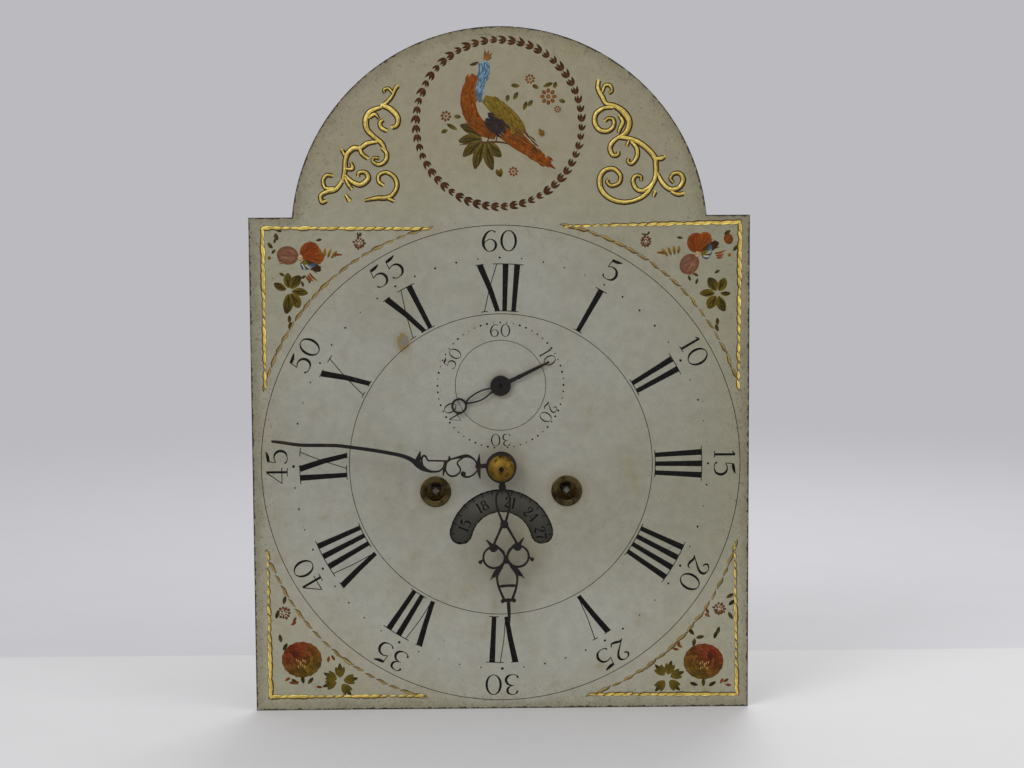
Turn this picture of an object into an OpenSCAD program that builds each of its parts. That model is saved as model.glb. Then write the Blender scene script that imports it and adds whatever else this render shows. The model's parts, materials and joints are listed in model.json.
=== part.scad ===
// Eight-day longcase clock movement with a painted break-arch dial.
// The dial faces -Y and every arbor lies along Y. The origin is midway between
// the two seat screws, on the filed flats under the lower pillars.

/* [Dial] */
// Width and height of the square part of the dial
dial_w = 304.8; // [290:0.1:320]
// Rise of the arch above the shoulders
arch_rise = 114.3; // [105:0.1:120]
// Radius of the arch
arch_r = 126.6; // [122:0.1:135]
// Thickness of the iron dial sheet
dial_t = 1.6; // [1.2:0.1:2.5]
// Distance between the front plate and the back of the dial
dial_gap = 27; // [26:0.1:29]
// Radius of the hole for the hands
dial_hole_r = 7.5; // [6.5:0.1:9]
// Radius of the dial feet
foot_r = 3.5; // [2.5:0.1:4]
// Outer radius of the winding collets
collet_r = 9.5; // [8.5:0.1:11]
// Radius of the winding holes
winding_hole_r = 5.75; // [5.2:0.05:6.2]
// Outer radius of the date aperture
date_out_r = 32.3; // [30:0.1:33]
// Inner radius of the date aperture
date_in_r = 18.8; // [15:0.1:22]
// Degrees that the date aperture reaches on each side of its top
date_half_span = 77.4; // [70:0.1:85]

/* [Frame] */
// Width of the plates
plate_w = 134; // [132:1:146]
// Height of the plates
plate_h = 172; // [172:1:180]
// Thickness of the plates
plate_t = 3.4; // [3:0.1:4]
// Distance between the plates
plate_gap = 64; // [64:0.1:65]
// Distance of the pillars' centres from the sides of the plates
pillar_inset = 6; // [5.5:0.1:6.5]
// Height of the lower pillars' centre above the seat
lower_pillar_z = 6; // [5.5:0.1:6.5]
// Distance of the upper pillars' centre below the top of the plates
upper_pillar_drop = 7; // [6:0.1:9]
// Radius of the pillars
pillar_r = 4.5; // [4:0.1:5]
// Radius of the pillars' middle knop
knop_r = 7; // [6:0.1:7.2]
// Radius of the seat screws
seat_screw_r = 2.1; // [1.5:0.1:2.5]
// Radius of the pins that hold the front plate and the dial
taper_pin_r = 0.9; // [0.7:0.05:1.1]

/* [Going train] */
// Distance of the winding arbors from the middle
winding_x = 40.3; // [39.8:0.1:40.8]
// Height of the winding arbors above the seat
winding_z = 50; // [49:0.1:50.5]
// Height of the centre arbor above the seat
centre_z = 66.3; // [65.8:0.1:66.8]
// Distance of the seconds arbor above the centre arbor
seconds_rise = 49.1; // [48.7:0.1:49.5]
// Teeth of the going great wheel
great_n = 96; // [96:12:96]
// Leaves of the centre and third pinions
pinion_n = 8; // [8:1:8]
// Teeth of the centre wheel
centre_n = 60; // [60:1:60]
// Teeth of the third wheel
third_n = 56; // [56:1:56]
// Leaves of the escape pinion
escape_pinion_n = 7; // [7:1:7]
// Tooth size (module) of the centre and third wheels
train_m = 0.78; // [0.775:0.001:0.785]
// Teeth of the escape wheel
escape_n = 30; // [30:1:30]
// Radius of the escape wheel
escape_r = 22; // [21.5:0.1:22]
// Teeth between the pallets
pallet_span = 7.5; // [7.5:1:7.5]
// Radius of the barrels
barrel_r = 24; // [22:0.1:24]
// Length of the barrels
barrel_l = 36; // [32:0.1:36]
// Grooves of each barrel
groove_n = 16; // [10:1:16]
// Radius of the barrel arbors
barrel_arbor_r = 4.2; // [4.1:0.1:4.5]
// Width of the winding squares
winding_square = 5.5; // [5:0.1:5.6]
// Thickness of the great wheels
great_t = 3; // [2.5:0.1:3]
// Thickness of the other wheels
wheel_t = 1.6; // [1.2:0.1:1.8]
// Radius of the centre arbor
centre_arbor_r = 1.5; // [1.4:0.05:1.6]
// Radius of the thinner arbors
arbor_r = 1.1; // [1:0.05:1.15]
// Radius of the pivots in the plates
pivot_r = 0.8; // [0.7:0.05:0.95]
// Running clearance of every pivot, all round
fit = 0.06; // [0.02:0.01:0.1]

/* [Strike train] */
// Teeth of the strike great wheel
strike_great_n = 84; // [84:1:84]
// Teeth of the pin wheel and of the gathering wheel
pin_n = 56; // [56:1:56]
// Pins that lift the hammer
hammer_pins = 8; // [6:1:8]
// Leaves of the gathering and fly pinions
small_pinion_n = 7; // [7:1:7]
// Teeth of the warning wheel
warning_n = 42; // [42:1:42]
// Tooth size (module) of the pin wheel
pin_m = 0.72; // [0.715:0.001:0.725]
// Tooth size (module) of the gathering wheel
gathering_m = 0.62; // [0.615:0.001:0.625]
// Tooth size (module) of the warning wheel
warning_m = 0.66; // [0.655:0.001:0.665]
// Radius of the circle of the hammer pins
pin_circle_r = 16; // [15.5:0.1:16.2]
// Length of the fly vane
fly_l = 24; // [18:0.1:24]
// Half width of the fly vane
fly_half = 11.5; // [9:0.1:11.7]

/* [Bell and hammer] */
// Radius of the bell's rim
bell_r = 50; // [48:0.1:50.4]
// Height of the bell
bell_h = 28; // [26:0.1:31]
// Thickness of the bell's wall
bell_wall = 2; // [1.6:0.1:2.4]
// Height of the bell's rim above the plates
bell_rise = 16; // [15:0.1:17]
// Distance of the bell's centre to the right of the middle
bell_x = 6; // [5.5:0.1:7]
// Radius of the hammer's head
hammer_head_r = 4.5; // [3.5:0.1:5]
// Gap between the resting hammer and the bell
hammer_gap = 1.8; // [1.6:0.1:2.5]

/* [Motion and strike work] */
// Teeth of the cannon wheel and of the minute wheel
minute_n = 36; // [36:1:36]
// Distance between the centre arbor and the minute wheel's stud
minute_d = 28; // [27.5:0.1:28.2]
// Leaves of the minute pinion
minute_pinion_n = 7; // [7:1:7]
// Degrees of each rack tooth
rack_step = 3; // [3:0.1:3]
// Distance between the rack's stud and the pin of its tail
rack_tail_l = 29; // [28.8:0.1:29.2]
// Reach of the gathering pallet's nib
gather_nib_r = 4.2; // [3.6:0.1:4.3]
// Clearance between pieces that act on each other now and then
idle = 0.2; // [0.15:0.01:0.3]
// Width of the levers
lever_w = 4; // [3:0.1:4.4]
// Thickness of the levers
lever_t = 1.6; // [1.2:0.1:1.7]

/* [Hands] */
// Length of the minute hand
minute_l = 142; // [120:0.1:143]
// Length of the hour hand
hour_l = 97.4; // [88:0.1:98]
// Length of the seconds hand
seconds_l = 33.4; // [28:0.1:34]
// Thickness of the hands
hand_t = 0.9; // [0.7:0.1:1.1]
// Distance of the hour hand in front of the dial
hour_off = 8; // [6:0.1:10]
// Distance of the minute hand in front of the dial
minute_off = 15; // [12.5:0.1:16]
// Radius of the domed collet that holds the hands
dome_r = 8; // [7:0.1:8.5]
// Height of the domed collet
dome_h = 4; // [3.5:0.1:4.5]
// Minutes that the hands show after the last full hour
shown_minute = 46; // [46:1:46]
// Last full hour that the hands show
shown_hour = 5; // [5:1:5]
// Degrees that the hour hand has been turned ahead on its pipe
hour_slip = 4.3; // [0:0.1:6]
// Second that the seconds hand shows
shown_second = 10.7; // [0:0.1:59]

/* [Date work] */
// Radius of the date disc
date_r = 34.5; // [34:0.1:34.8]
// Distance of the date disc's centre below the centre arbor
date_drop = 47.8; // [47.5:0.1:48]
// Teeth of the date disc
date_n = 31; // [31:1:31]

/* [Hidden] */
$fn = 48;

// Faces of the plates and of the dial along Y
plate_in = plate_gap/2;
plate_out = plate_in + plate_t;
dial_back = -plate_out - dial_gap;
dial_front = dial_back - dial_t;

// Distance of the pillars and of the dial feet from the middle of the plates
pillar_x = plate_w/2 - pillar_inset;
foot_x = plate_w/2 - 9;
bottom_foot_z = 28;
top_foot_z = plate_h - 24;
upper_pillar_z = plate_h - upper_pillar_drop;
bell_z = plate_h + bell_rise;

// Arbor places, as [x, z], seen from the front
going_p = [winding_x, winding_z];
strike_p = [-winding_x, winding_z];
centre_p = [0, centre_z];
escape_p = [0, centre_z + seconds_rise];
great_m = 2*norm(going_p - centre_p)/(great_n + pinion_n);
third_p = meet(centre_p, escape_p, train_m*(centre_n + pinion_n)/2,
  train_m*(third_n + escape_pinion_n)/2);
pallet_p = escape_p + [0, escape_r/cos(180*pallet_span/escape_n)];
pin_p = strike_p + pol(great_m*(strike_great_n + pinion_n)/2, 92.5);
gathering_p = pin_p + pol(pin_m*(pin_n + small_pinion_n)/2, 74.7);
warning_p = gathering_p + pol(gathering_m*(pin_n + pinion_n)/2, 59.7);
fly_p = warning_p + pol(warning_m*(warning_n + small_pinion_n)/2, 137.8);
hammer_p = [-56, 119];
minute_p = centre_p + pol(minute_d, 30);
rack_p = [-33.5, 68];
hook_p = [8, 103];
lifting_p = [46, 104];
date_p = centre_p - [0, date_drop];
date_wheel_p = centre_p + pol(22, -39.8);

// Layers along Y
great_y = 22;
great_y1 = great_y + great_t;
barrel_y0 = great_y - great_t - barrel_l;
barrel_y1 = barrel_y0 + barrel_l;
ratchet_y0 = barrel_y1 + 0.3;
ratchet_y1 = great_y - 0.5;
centre_wheel_y = -25;
third_wheel_y = 5.2;
escape_wheel_y = 17;
pin_wheel_y = -23;
pin_end_y = -29;
gathering_wheel_y = 8;
warning_wheel_y = -27.5;
fly_y0 = -19;
fly_y1 = fly_y0 + fly_l;
hammer_y = 16;
tail_y = -28.5;
rack_y0 = -plate_out - 3;
rack_y1 = rack_y0 + lever_t;
gather_tail_y0 = rack_y0 - 0.6 - lever_t;
gather_tail_y1 = rack_y0 - 0.6;
lift_y0 = gather_tail_y0 - 0.4 - lever_t;
lift_y1 = gather_tail_y0 - 0.4;
cannon_y0 = -plate_out - 4.6;
cannon_y1 = cannon_y0 + wheel_t;
bridge_y1 = -plate_out - 8.6;
bridge_y0 = bridge_y1 - 2;
hour_wheel_y0 = bridge_y0 - 0.6 - wheel_t;
hour_wheel_y1 = bridge_y0 - 0.6;
snail_y0 = hour_wheel_y0 - 2.4;
snail_y1 = hour_wheel_y0 - 0.3;
rack_tail_y0 = snail_y0 - 0.4 - lever_t;
rack_tail_y1 = snail_y0 - 0.4;
date_drive_y0 = rack_tail_y0 - 0.4 - wheel_t;
date_drive_y1 = rack_tail_y0 - 0.4;
date_disc_y0 = dial_back + 0.3;
date_disc_y1 = date_disc_y0 + 1;
seconds_y1 = dial_front - 2;
hour_hand_y1 = dial_front - hour_off;
minute_hand_y1 = dial_front - minute_off;

// Pipes on the centre arbor, each running on the next
cannon_pipe_r = centre_arbor_r + 1.3;
bridge_pipe_r = cannon_pipe_r + fit + 1.3;
hour_pipe_r = bridge_pipe_r + fit + 1.3;

// Turn of each hand from twelve, clockwise
minute_turn = shown_minute*6;
hour_turn = (shown_hour + shown_minute/60)*30 + hour_slip;
seconds_turn = shown_second*6;
// Degrees that the snail still has to turn before it strikes
to_strike = (60 - shown_minute)/2;

// Rack and snail
rack_tip_r = norm(gathering_p - rack_p) - gather_nib_r - idle;
rack_root_r = rack_tip_r - 1.5;
tail_pin_r = 1;
centre_bearing = angle(centre_p - rack_p);
tail_rest = -52;
next_hour = shown_hour + 1;
snail_face = angle(rack_p + pol(rack_tail_l, centre_bearing + tail_rest
  + rack_step*next_hour) - centre_p);

brass = [0.78, 0.62, 0.3];
steel = [0.62, 0.63, 0.65];
blued = [0.1, 0.1, 0.13];
cream = [0.82, 0.8, 0.68];
iron = [0.32, 0.31, 0.3];

function pol(r, a) = [r*cos(a), r*sin(a)];
function angle(v) = atan2(v[1], v[0]);
// Where two circles meet, on the right of the line from p to q
function meet(p, q, rp, rq) = let (d = norm(q - p), u = (q - p)/d,
  a = (d*d + rp*rp - rq*rq)/(2*d), h = sqrt(rp*rp - a*a))
  p + a*u + h*[u[1], -u[0]];
function arc(r, a0, a1, n) = [for (i = [0:n]) pol(r, a0 + (a1 - a0)*i/n)];
function bearing(p, q) = angle(q - p);
// Turn of a pinion or wheel at p that has a gap facing q
function gap_turn(p, q, n) = bearing(p, q) + 180/n;
// Snail radius for an hour, from the place of the rack tail's pin
function snail_r(hour) = norm(rack_p + pol(rack_tail_l, centre_bearing
  + tail_rest + rack_step*hour) - centre_p) - tail_pin_r - idle;

// A flat piece drawn in X and Z, from y0 to y1
module slab(y0, y1) translate([0, y1, 0]) rotate([90, 0, 0])
  linear_extrude(y1 - y0) children();
module at(p) translate([p[0], p[1]]) children();
module rod(p, y0, y1, r) translate([p[0], y1, p[1]]) rotate([90, 0, 0])
  cylinder(h = y1 - y0, r = r);
module tube(p, y0, y1, ro, ri) difference() {
  rod(p, y0, y1, ro);
  rod(p, y0 - 1, y1 + 1, ri);
}
module square_rod(p, y0, y1, w) slab(y0, y1) at(p) square(w, center = true);
module bar(p, q, wp, wq) {
  u = (q - p)/norm(q - p);
  n = [-u[1], u[0]];
  polygon([p + n*wp/2, q + n*wq/2, q - n*wq/2, p - n*wp/2]);
}
module disc(p, r) at(p) circle(r);
module ring(p, ro, ri) difference() {
  disc(p, ro);
  disc(p, ri);
}
// A straight-sided hole that clears a round arbor of radius r
module flat_bore(r) circle(r = (r + 0.03)/cos(15), $fn = 12);

// Wheel teeth with ogive tips
module teeth(n, m, share = 0.43, add = 1.15, ded = 1.35) {
  rp = n*m/2;
  h = share*180/n;
  polygon([for (i = [0:n - 1], p = [[-1, -ded], [-1, 0], [-0.68, 0.62*add],
    [-0.1, add], [0.1, add], [0.68, 0.62*add], [1, 0], [1, -ded]])
    pol(rp + p[1]*m, i*360/n + p[0]*h)]);
}
// Pinion leaves, narrower and rounder
module leaves(n, m) {
  rp = n*m/2;
  h = 0.33*180/n;
  polygon([for (i = [0:n - 1], p = [[-1, -1.42], [-1, 0], [-0.75, 0.35],
    [-0.3, 0.6], [0.3, 0.6], [0.75, 0.35], [1, 0], [1, -1.42]])
    pol(rp + p[1]*m, i*360/n + p[0]*h)]);
}
module ratchet_teeth(n, r, depth) polygon([for (i = [0:n - 1], p = [[0, 0],
  [0.06, -1], [1, -0.02]]) pol(r + p[1]*depth, (i + p[0])*360/n)]);
// Openings between the arms of a wheel
module windows(arms, r_in, r_out, w, turn = 45) for (i = [0:arms - 1]) {
  a0 = turn + i*360/arms;
  a1 = a0 + 360/arms;
  d_out = asin(w/2/r_out);
  d_in = asin(w/2/r_in);
  polygon(concat(arc(r_out, a0 + d_out, a1 - d_out, 14),
    arc(r_in, a1 - d_in, a0 + d_in, 5)));
}
// Wheel with arms, a flat-sided bore and a tooth at the angle turn
module wheel(p, y0, t, n, m, turn, bore, hub = 6, rim = 3, arm = 3) {
  slab(y0, y0 + t) at(p) rotate(turn) difference() {
    teeth(n, m);
    windows(4, hub, n*m/2 - 1.35*m - rim, arm);
    flat_bore(bore);
  }
}
// Hub that holds a wheel to its arbor
module hub(p, y0, y1, r, bore) slab(y0, y1) at(p) difference() {
  circle(r = r, $fn = 12);
  flat_bore(bore);
}
module pinion(p, y0, y1, n, m, turn, bore) slab(y0, y1) at(p) rotate(turn)
  difference() {
    leaves(n, m);
    flat_bore(bore);
  }
// Arbor with a pivot at each end
module arbor(p, r, y0 = -plate_in + 0.4, y1 = plate_in - 0.4) {
  rod(p, y0, y1, r);
  rod(p, -plate_out, y0 + 0.5, pivot_r);
  rod(p, y1 - 0.5, plate_out, pivot_r);
}

// Dial
module dial_outline() {
  shoulder = dial_w/2;
  translate([-dial_w/2, -dial_w/2]) square(dial_w);
  intersection() {
    translate([0, shoulder + arch_rise - arch_r]) circle(arch_r, $fn = 160);
    translate([-dial_w/2, shoulder - 1]) square([dial_w, arch_rise + 1]);
  }
}
module date_window() {
  mid = (date_out_r + date_in_r)/2;
  half = (date_out_r - date_in_r)/2;
  low = 90 - date_half_span;
  high = 90 + date_half_span;
  function round_end(a, from) = [for (i = [1:15]) pol(mid, a) + pol(half, from + i*180/16)];
  polygon(concat(arc(date_out_r, low, high, 60), round_end(high, high),
    arc(date_in_r, high, low, 60), round_end(low, low + 180)));
}
module dial_plate() color(cream) slab(dial_front, dial_back) difference() {
  at(centre_p) dial_outline();
  disc(centre_p, dial_hole_r);
  disc(escape_p, pivot_r + 1.4);
  for (p = [going_p, strike_p]) disc(p, winding_hole_r + 1.2);
  at(date_p) date_window();
}
foot_places = [[-foot_x, bottom_foot_z], [foot_x, bottom_foot_z],
  [1 - foot_x, top_foot_z], [foot_x - 1, top_foot_z]];
module dial_feet() color(iron) for (p = foot_places) {
  difference() {
    union() {
      rod(p, dial_back, -plate_out, foot_r);
      rod(p, -plate_out - 0.5, -plate_in + 4, foot_r - 1);
      rod(p, dial_back, dial_back + 1.2, foot_r + 2);
    }
    translate([p[0], foot_pin_y, p[1] - 9]) cylinder(h = 18, r = taper_pin_r + 0.05);
  }
}
foot_pin_y = -plate_in + taper_pin_r + 0.35;
module winding_collets() color(brass) for (p = [going_p, strike_p]) difference() {
  union() {
    rod(p, dial_front - 1, dial_front, collet_r);
    rod(p, dial_front - 0.5, dial_back + 0.6, winding_hole_r + 1.15);
  }
  rod(p, dial_front - 3, dial_back + 2, winding_hole_r);
}

// Date work
module date_disc() color(iron) {
  slab(date_disc_y0, date_disc_y1) at(date_p) difference() {
    ratchet_teeth(date_n, date_r, 1.8);
    flat_bore(date_stud_r + fit);
  }
}
date_stud_r = 1.6;
date_wheel_stud_r = 1.1;
date_wheel_n = 40;
date_m = 22*2/(20 + date_wheel_n);
module date_studs() color(steel) {
  rod(date_p, dial_back, date_disc_y1 + 0.4, date_stud_r);
  rod(date_p, date_disc_y1 + 0.3, date_disc_y1 + 1.3, date_stud_r + 1.4);
  rod(date_wheel_p, date_drive_y1 + 0.3, date_drive_y1 + 1.3, date_wheel_stud_r + 1);
  rod(date_wheel_p, dial_back, date_drive_y1 + 0.3, date_wheel_stud_r);
}
finger_r = norm(date_wheel_p - date_p) - date_r - idle;
module date_wheel() color(brass) {
  wheel(date_wheel_p, date_drive_y0, wheel_t, date_wheel_n, date_m,
    gap_turn(date_wheel_p, centre_p, date_wheel_n), date_wheel_stud_r + 0.03,
    hub = 4.5, rim = 2.4);
  slab(date_disc_y0, date_drive_y0) at(date_wheel_p) difference() {
    union() {
      circle(r = 2, $fn = 12);
      polygon([[0, 1.1], [-finger_r, 0.4], [-finger_r, -0.4], [0, -1.1]]);
    }
    flat_bore(date_wheel_stud_r + 0.03);
  }
}
module date_jumper() color(steel) {
  foot = date_p + pol(date_r + 9, 215);
  tip = date_p + pol(date_r + idle, 185);
  slab(date_disc_y0, date_disc_y1) difference() {
    union() {
      disc(foot, 2.6);
      bar(foot, tip + pol(3, 185), 3.6, 1.6);
      bar(tip + pol(4, 185), tip, 3, 0.8);
    }
    disc(foot, 1.25);
  }
  rod(foot, dial_back, date_disc_y1, 1.2);
  rod(foot, date_disc_y1, date_disc_y1 + 1.2, 2.4);
}

// Hands, drawn pointing up and then turned
module turned(p, turn) at(p) rotate(-turn) children();
// In hundredths of the hand's length, as the minute hand is
module hour_hand_shape() scale(hour_l/100) {
  circle(9.7);
  bar([0, 8.2], [0, 12.5], 7.2, 3.1);
  disc([0, 12.6], 2.4);
  difference() {
    union() {
      disc([0, 24.2], 4.5);
      bar([0, 14.6], [0, 23.1], 3.1, 8.8);
      bar([0, 25.3], [0, 34.9], 8.7, 2.6);
    }
    disc([0, 24.2], 2.9);
    bar([0, 25.7], [0, 32.7], 4.7, 0.8);
    bar([0, 15.7], [0, 22], 0.8, 4.5);
  }
  bar([0, 33.8], [0, 38.3], 3.5, 3.5);
  for (s = [-1, 1]) {
    bar([0, 36.4], [s*7.6, 48.1], 3.1, 2.1);
    disc([s*7.5, 50.8], 2.5);
    bar([s*7.6, 48.1], [s*11.9, 43.7], 3.1, 0.7);
    ring([s*7.5, 57.2], 7.4, 5.8);
    bar([s*10.3, 61.6], [s*16.2, 59.5], 3.1, 0.7);
    bar([s*1, 58], [s*5.9, 67.5], 2.1, 1.9);
    bar([s*5.9, 67.2], [s*5.6, 75.8], 2, 1.7);
    bar([s*5.6, 75.4], [s*2.6, 85.6], 1.7, 1.9);
    bar([s*4.7, 69.3], [s*10.6, 71.8], 2.6, 0.7);
    bar([0, 75.8], [s*6, 75.8], 2.1, 1);
    disc([s*3.8, 85.5], 1.1);
  }
  bar([-3.8, 85.5], [3.8, 85.5], 1.3, 1.3);
  bar([0, 85], [0, 92.5], 2.3, 2.2);
  bar([0, 92.3], [0, 100], 2.2, 0.9);
  disc([0, 67.2], 1.8);
  bar([0, 58], [0, 67.2], 1, 1.4);
}
module hour_hand() color(blued) {
  slab(hour_hand_y1 - hand_t, hour_hand_y1) difference() {
    turned(centre_p, hour_turn) hour_hand_shape();
    disc(centre_p, hour_pipe_r + 0.03);
  }
}
module minute_hand_shape() scale(minute_l/100) {
  circle(6.4);
  bar([0.4, 4.4], [0, 9.4], 2.4, 2.4);
  bar([0, 10], [5.2, 9.9], 2.2, 0.5);
  bar([0, 10], [-5.5, 8.5], 2.2, 0.5);
  ring([-0.6, 14.6], 5, 4);
  bar([2.6, 17.8], [0.2, 19], 1, 0.9);
  bar([0.2, 19], [-2.6, 17.3], 0.9, 0.9);
  ring([-2.2, 20.6], 3.6, 2.7);
  bar([3.6, 16.4], [0.4, 24], 1.3, 1.5);
  bar([1, 22.6], [3.5, 22.6], 1.6, 0.5);
  bar([0.9, 22.6], [0.3, 31.4], 1, 0.9);
  bar([0.6, 31.4], [2, 33.1], 1.2, 1);
  bar([2, 33.1], [-0.8, 34.2], 1, 1.8);
  bar([0.6, 24.1], [-5.4, 24.3], 2, 0.6);
  bar([-2.6, 24.6], [-4.3, 28.4], 1.4, 1);
  bar([-4.3, 28], [-3.2, 33], 1, 1.8);
  bar([-4.2, 29.4], [-0.4, 37.8], 1.2, 2.6);
  bar([-0.8, 36], [4.2, 35.2], 2.6, 0.5);
  bar([-0.5, 37.4], [1.7, 45.6], 2.4, 1.5);
  bar([1.7, 45.3], [2.9, 70.6], 1.5, 1.3);
  bar([2.9, 70.3], [1.7, 86.9], 1.3, 1.3);
  bar([1.7, 86.6], [2, 99.3], 1.3, 1.1);
  disc([2, 99.3], 0.6);
}
module minute_hand() color(blued) {
  slab(minute_hand_y1 - hand_t, minute_hand_y1) difference() {
    turned(centre_p, minute_turn) minute_hand_shape();
    disc(centre_p, cannon_pipe_r + 0.03);
  }
}
module seconds_hand() color(blued) {
  slab(seconds_y1 - 0.6, seconds_y1) difference() {
    turned(escape_p, seconds_turn) {
      circle(6.2);
      bar([0, 5], [0, seconds_l], 2.2, 0.7);
      for (s = [-1, 1]) {
        bar([s*2.2, -5], [s*3.3, -12], 1.3, 0.9);
        bar([s*3.3, -11.7], [s*1, -24.5], 0.9, 1.1);
      }
      ring([0, -28.5], 4.9, 3.6);
    }
    disc(escape_p, pivot_r + 0.03);
  }
  tube(escape_p, seconds_y1, dial_front - 0.3, 2.6, pivot_r + 0.03);
}
dome_curve_r = (pow(dome_r, 2) + pow(dome_h, 2))/(2*dome_h);
collet_pin_half = 0.8*dome_r;
collet_pin_y = minute_hand_y1 - hand_t - 0.55*dome_h;
module collet_pin(extra = 0)
  translate([centre_p[0] - collet_pin_half, collet_pin_y, centre_p[1]])
  rotate([0, 90, 0]) cylinder(h = 2*collet_pin_half, r = taper_pin_r*0.7 + extra);
module hand_collet() color(brass) {
  collet_pin();
  difference() {
    intersection() {
      translate([centre_p[0], minute_hand_y1 - hand_t - dome_h + dome_curve_r, centre_p[1]])
        sphere(r = dome_curve_r);
      rod(centre_p, minute_hand_y1 - hand_t - dome_h, minute_hand_y1 - hand_t, dome_r + 0.2);
    }
    rod(centre_p, minute_hand_y1 - 20, minute_hand_y1, centre_arbor_r + 0.05);
    collet_pin(0.03);
  }
}

// Frame
bore_places = [third_p, pin_p, gathering_p, warning_p, fly_p, hammer_p];
module plate_outline() {
  translate([-plate_w/2, 0]) square([plate_w, plate_h]);
}
module pillar_holes() for (s = [-1, 1], z = [lower_pillar_z, upper_pillar_z])
  disc([s*pillar_x, z], pillar_r - 1 + 0.05);
bridge_screws = [centre_p + [0, 20], centre_p - [0, 20]];
cock_screws = [pallet_p + [-14, 4], pallet_p + [14, 4]];
stand_screws = [[36, plate_h - 27], [36, plate_h - 9]];
stud_places = [minute_p, rack_p, hook_p, lifting_p];
stud_r = [0.8, 2, 1.5, 2];
frame_screw_r = 1.6;
module front_plate() color(brass) slab(-plate_out, -plate_in) difference() {
  plate_outline();
  pillar_holes();
  for (p = bore_places) disc(p, pivot_r + fit);
  disc(pallet_p, pivot_r + fit);
  disc(escape_p, pivot_r + fit);
  disc(centre_p, centre_arbor_r + fit);
  for (p = [going_p, strike_p]) disc(p, barrel_arbor_r + fit);
  for (p = foot_places) disc(p, foot_r - 1 + 0.05);
  for (p = bridge_screws) disc(p, frame_screw_r + 0.05);
  for (i = [0:3]) disc(stud_places[i], stud_r[i] + 0.05);
  translate([-23, 111.5]) square([10, 14]);
}
module back_plate() color(brass) slab(plate_in, plate_out) difference() {
  plate_outline();
  pillar_holes();
  for (p = bore_places) disc(p, pivot_r + fit);
  disc(escape_p, pivot_r + fit);
  disc(centre_p, pivot_r + fit);
  disc(pallet_p, 5);
  for (p = [going_p, strike_p]) disc(p, barrel_arbor_r - 1 + fit);
  for (p = concat(cock_screws, stand_screws)) disc(p, frame_screw_r + 0.05);
  disc(spring_p, frame_screw_r + 0.05);
}
module pillar(x, z) translate([x, 0, z]) rotate([90, 0, 0]) {
  rotate_extrude() polygon([[0, -plate_in], [pillar_r + 1.5, -plate_in],
    [pillar_r + 1.5, -plate_in + 2.5], [pillar_r, -plate_in + 4.5],
    [pillar_r - 0.8, -10], [pillar_r + 0.6, -6], [pillar_r + 0.6, -4],
    [knop_r - 0.4, -2], [knop_r, 0], [knop_r - 0.4, 2], [pillar_r + 0.6, 4],
    [pillar_r + 0.6, 6], [pillar_r - 0.8, 10], [pillar_r, plate_in - 4.5],
    [pillar_r + 1.5, plate_in - 2.5], [pillar_r + 1.5, plate_in], [0, plate_in]]);
  translate([0, 0, plate_in - 0.5]) cylinder(h = plate_t + 4.5, r = pillar_r - 1);
  translate([0, 0, -plate_out]) cylinder(h = plate_t + 0.5, r = pillar_r - 1);
}
pillar_pin_y = -plate_out - taper_pin_r - 0.3;
module pillar_pin_hole(x, z) translate([x, pillar_pin_y, z - 9])
  cylinder(h = 18, r = taper_pin_r + 0.05);
module lower_pillars() color(brass) for (s = [-1, 1]) difference() {
  pillar(s*pillar_x, lower_pillar_z);
  pillar_pin_hole(s*pillar_x, lower_pillar_z);
  translate([s*pillar_x - 10, -plate_in - 0.1, -5]) cube([20, plate_gap + 0.2, 5]);
  translate([s*pillar_x, 0, -1]) cylinder(h = 10, r = seat_screw_r);
}
module upper_pillars() color(brass) for (s = [-1, 1]) difference() {
  pillar(s*pillar_x, upper_pillar_z);
  pillar_pin_hole(s*pillar_x, upper_pillar_z);
}
module taper_pins() color(steel) {
  for (s = [-1, 1], z = [lower_pillar_z, upper_pillar_z])
    translate([s*pillar_x, pillar_pin_y, z - 5.8]) cylinder(h = 12.4, r = taper_pin_r);
  for (p = foot_places)
    translate([p[0], foot_pin_y, p[1] - 7]) cylinder(h = 14, r = taper_pin_r);
}

// Cock that carries the rear end of the pallet arbor and the pendulum
cock_y1 = plate_out + 3;
cock_arm_y = plate_out + 14;
suspension_y = plate_out + 30;
suspension_z = pallet_p[1] + 5;
module back_cock() color(brass) difference() {
  union() {
    slab(plate_out, cock_y1) difference() {
      translate(pallet_p + [-20, -1]) square([40, 11]);
      disc(pallet_p, 5);
    }
    for (s = [-1, 1]) translate([s*9 - 1.75, plate_out, pallet_p[1] + 3])
      cube([3.5, suspension_y - plate_out, 7]);
    translate([-10.75, cock_arm_y, pallet_p[1] - 5]) cube([21.5, 3, 15]);
    translate([-10.75, suspension_y - 3, pallet_p[1] + 3]) cube([21.5, 6, 7]);
  }
  rod(pallet_p, cock_arm_y - 1, cock_arm_y + 4, pivot_r + fit);
  translate([-0.6, suspension_y - 4, suspension_z - 3]) cube([1.2, 8, 9]);
  for (p = cock_screws) rod(p, plate_out - 1, cock_y1 + 1, frame_screw_r + 0.05);
}
stand_y1 = plate_out + 3;
stand_z = bell_z - 9;
post_r = 3;
bell_top_z = bell_z + bell_h;
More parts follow.
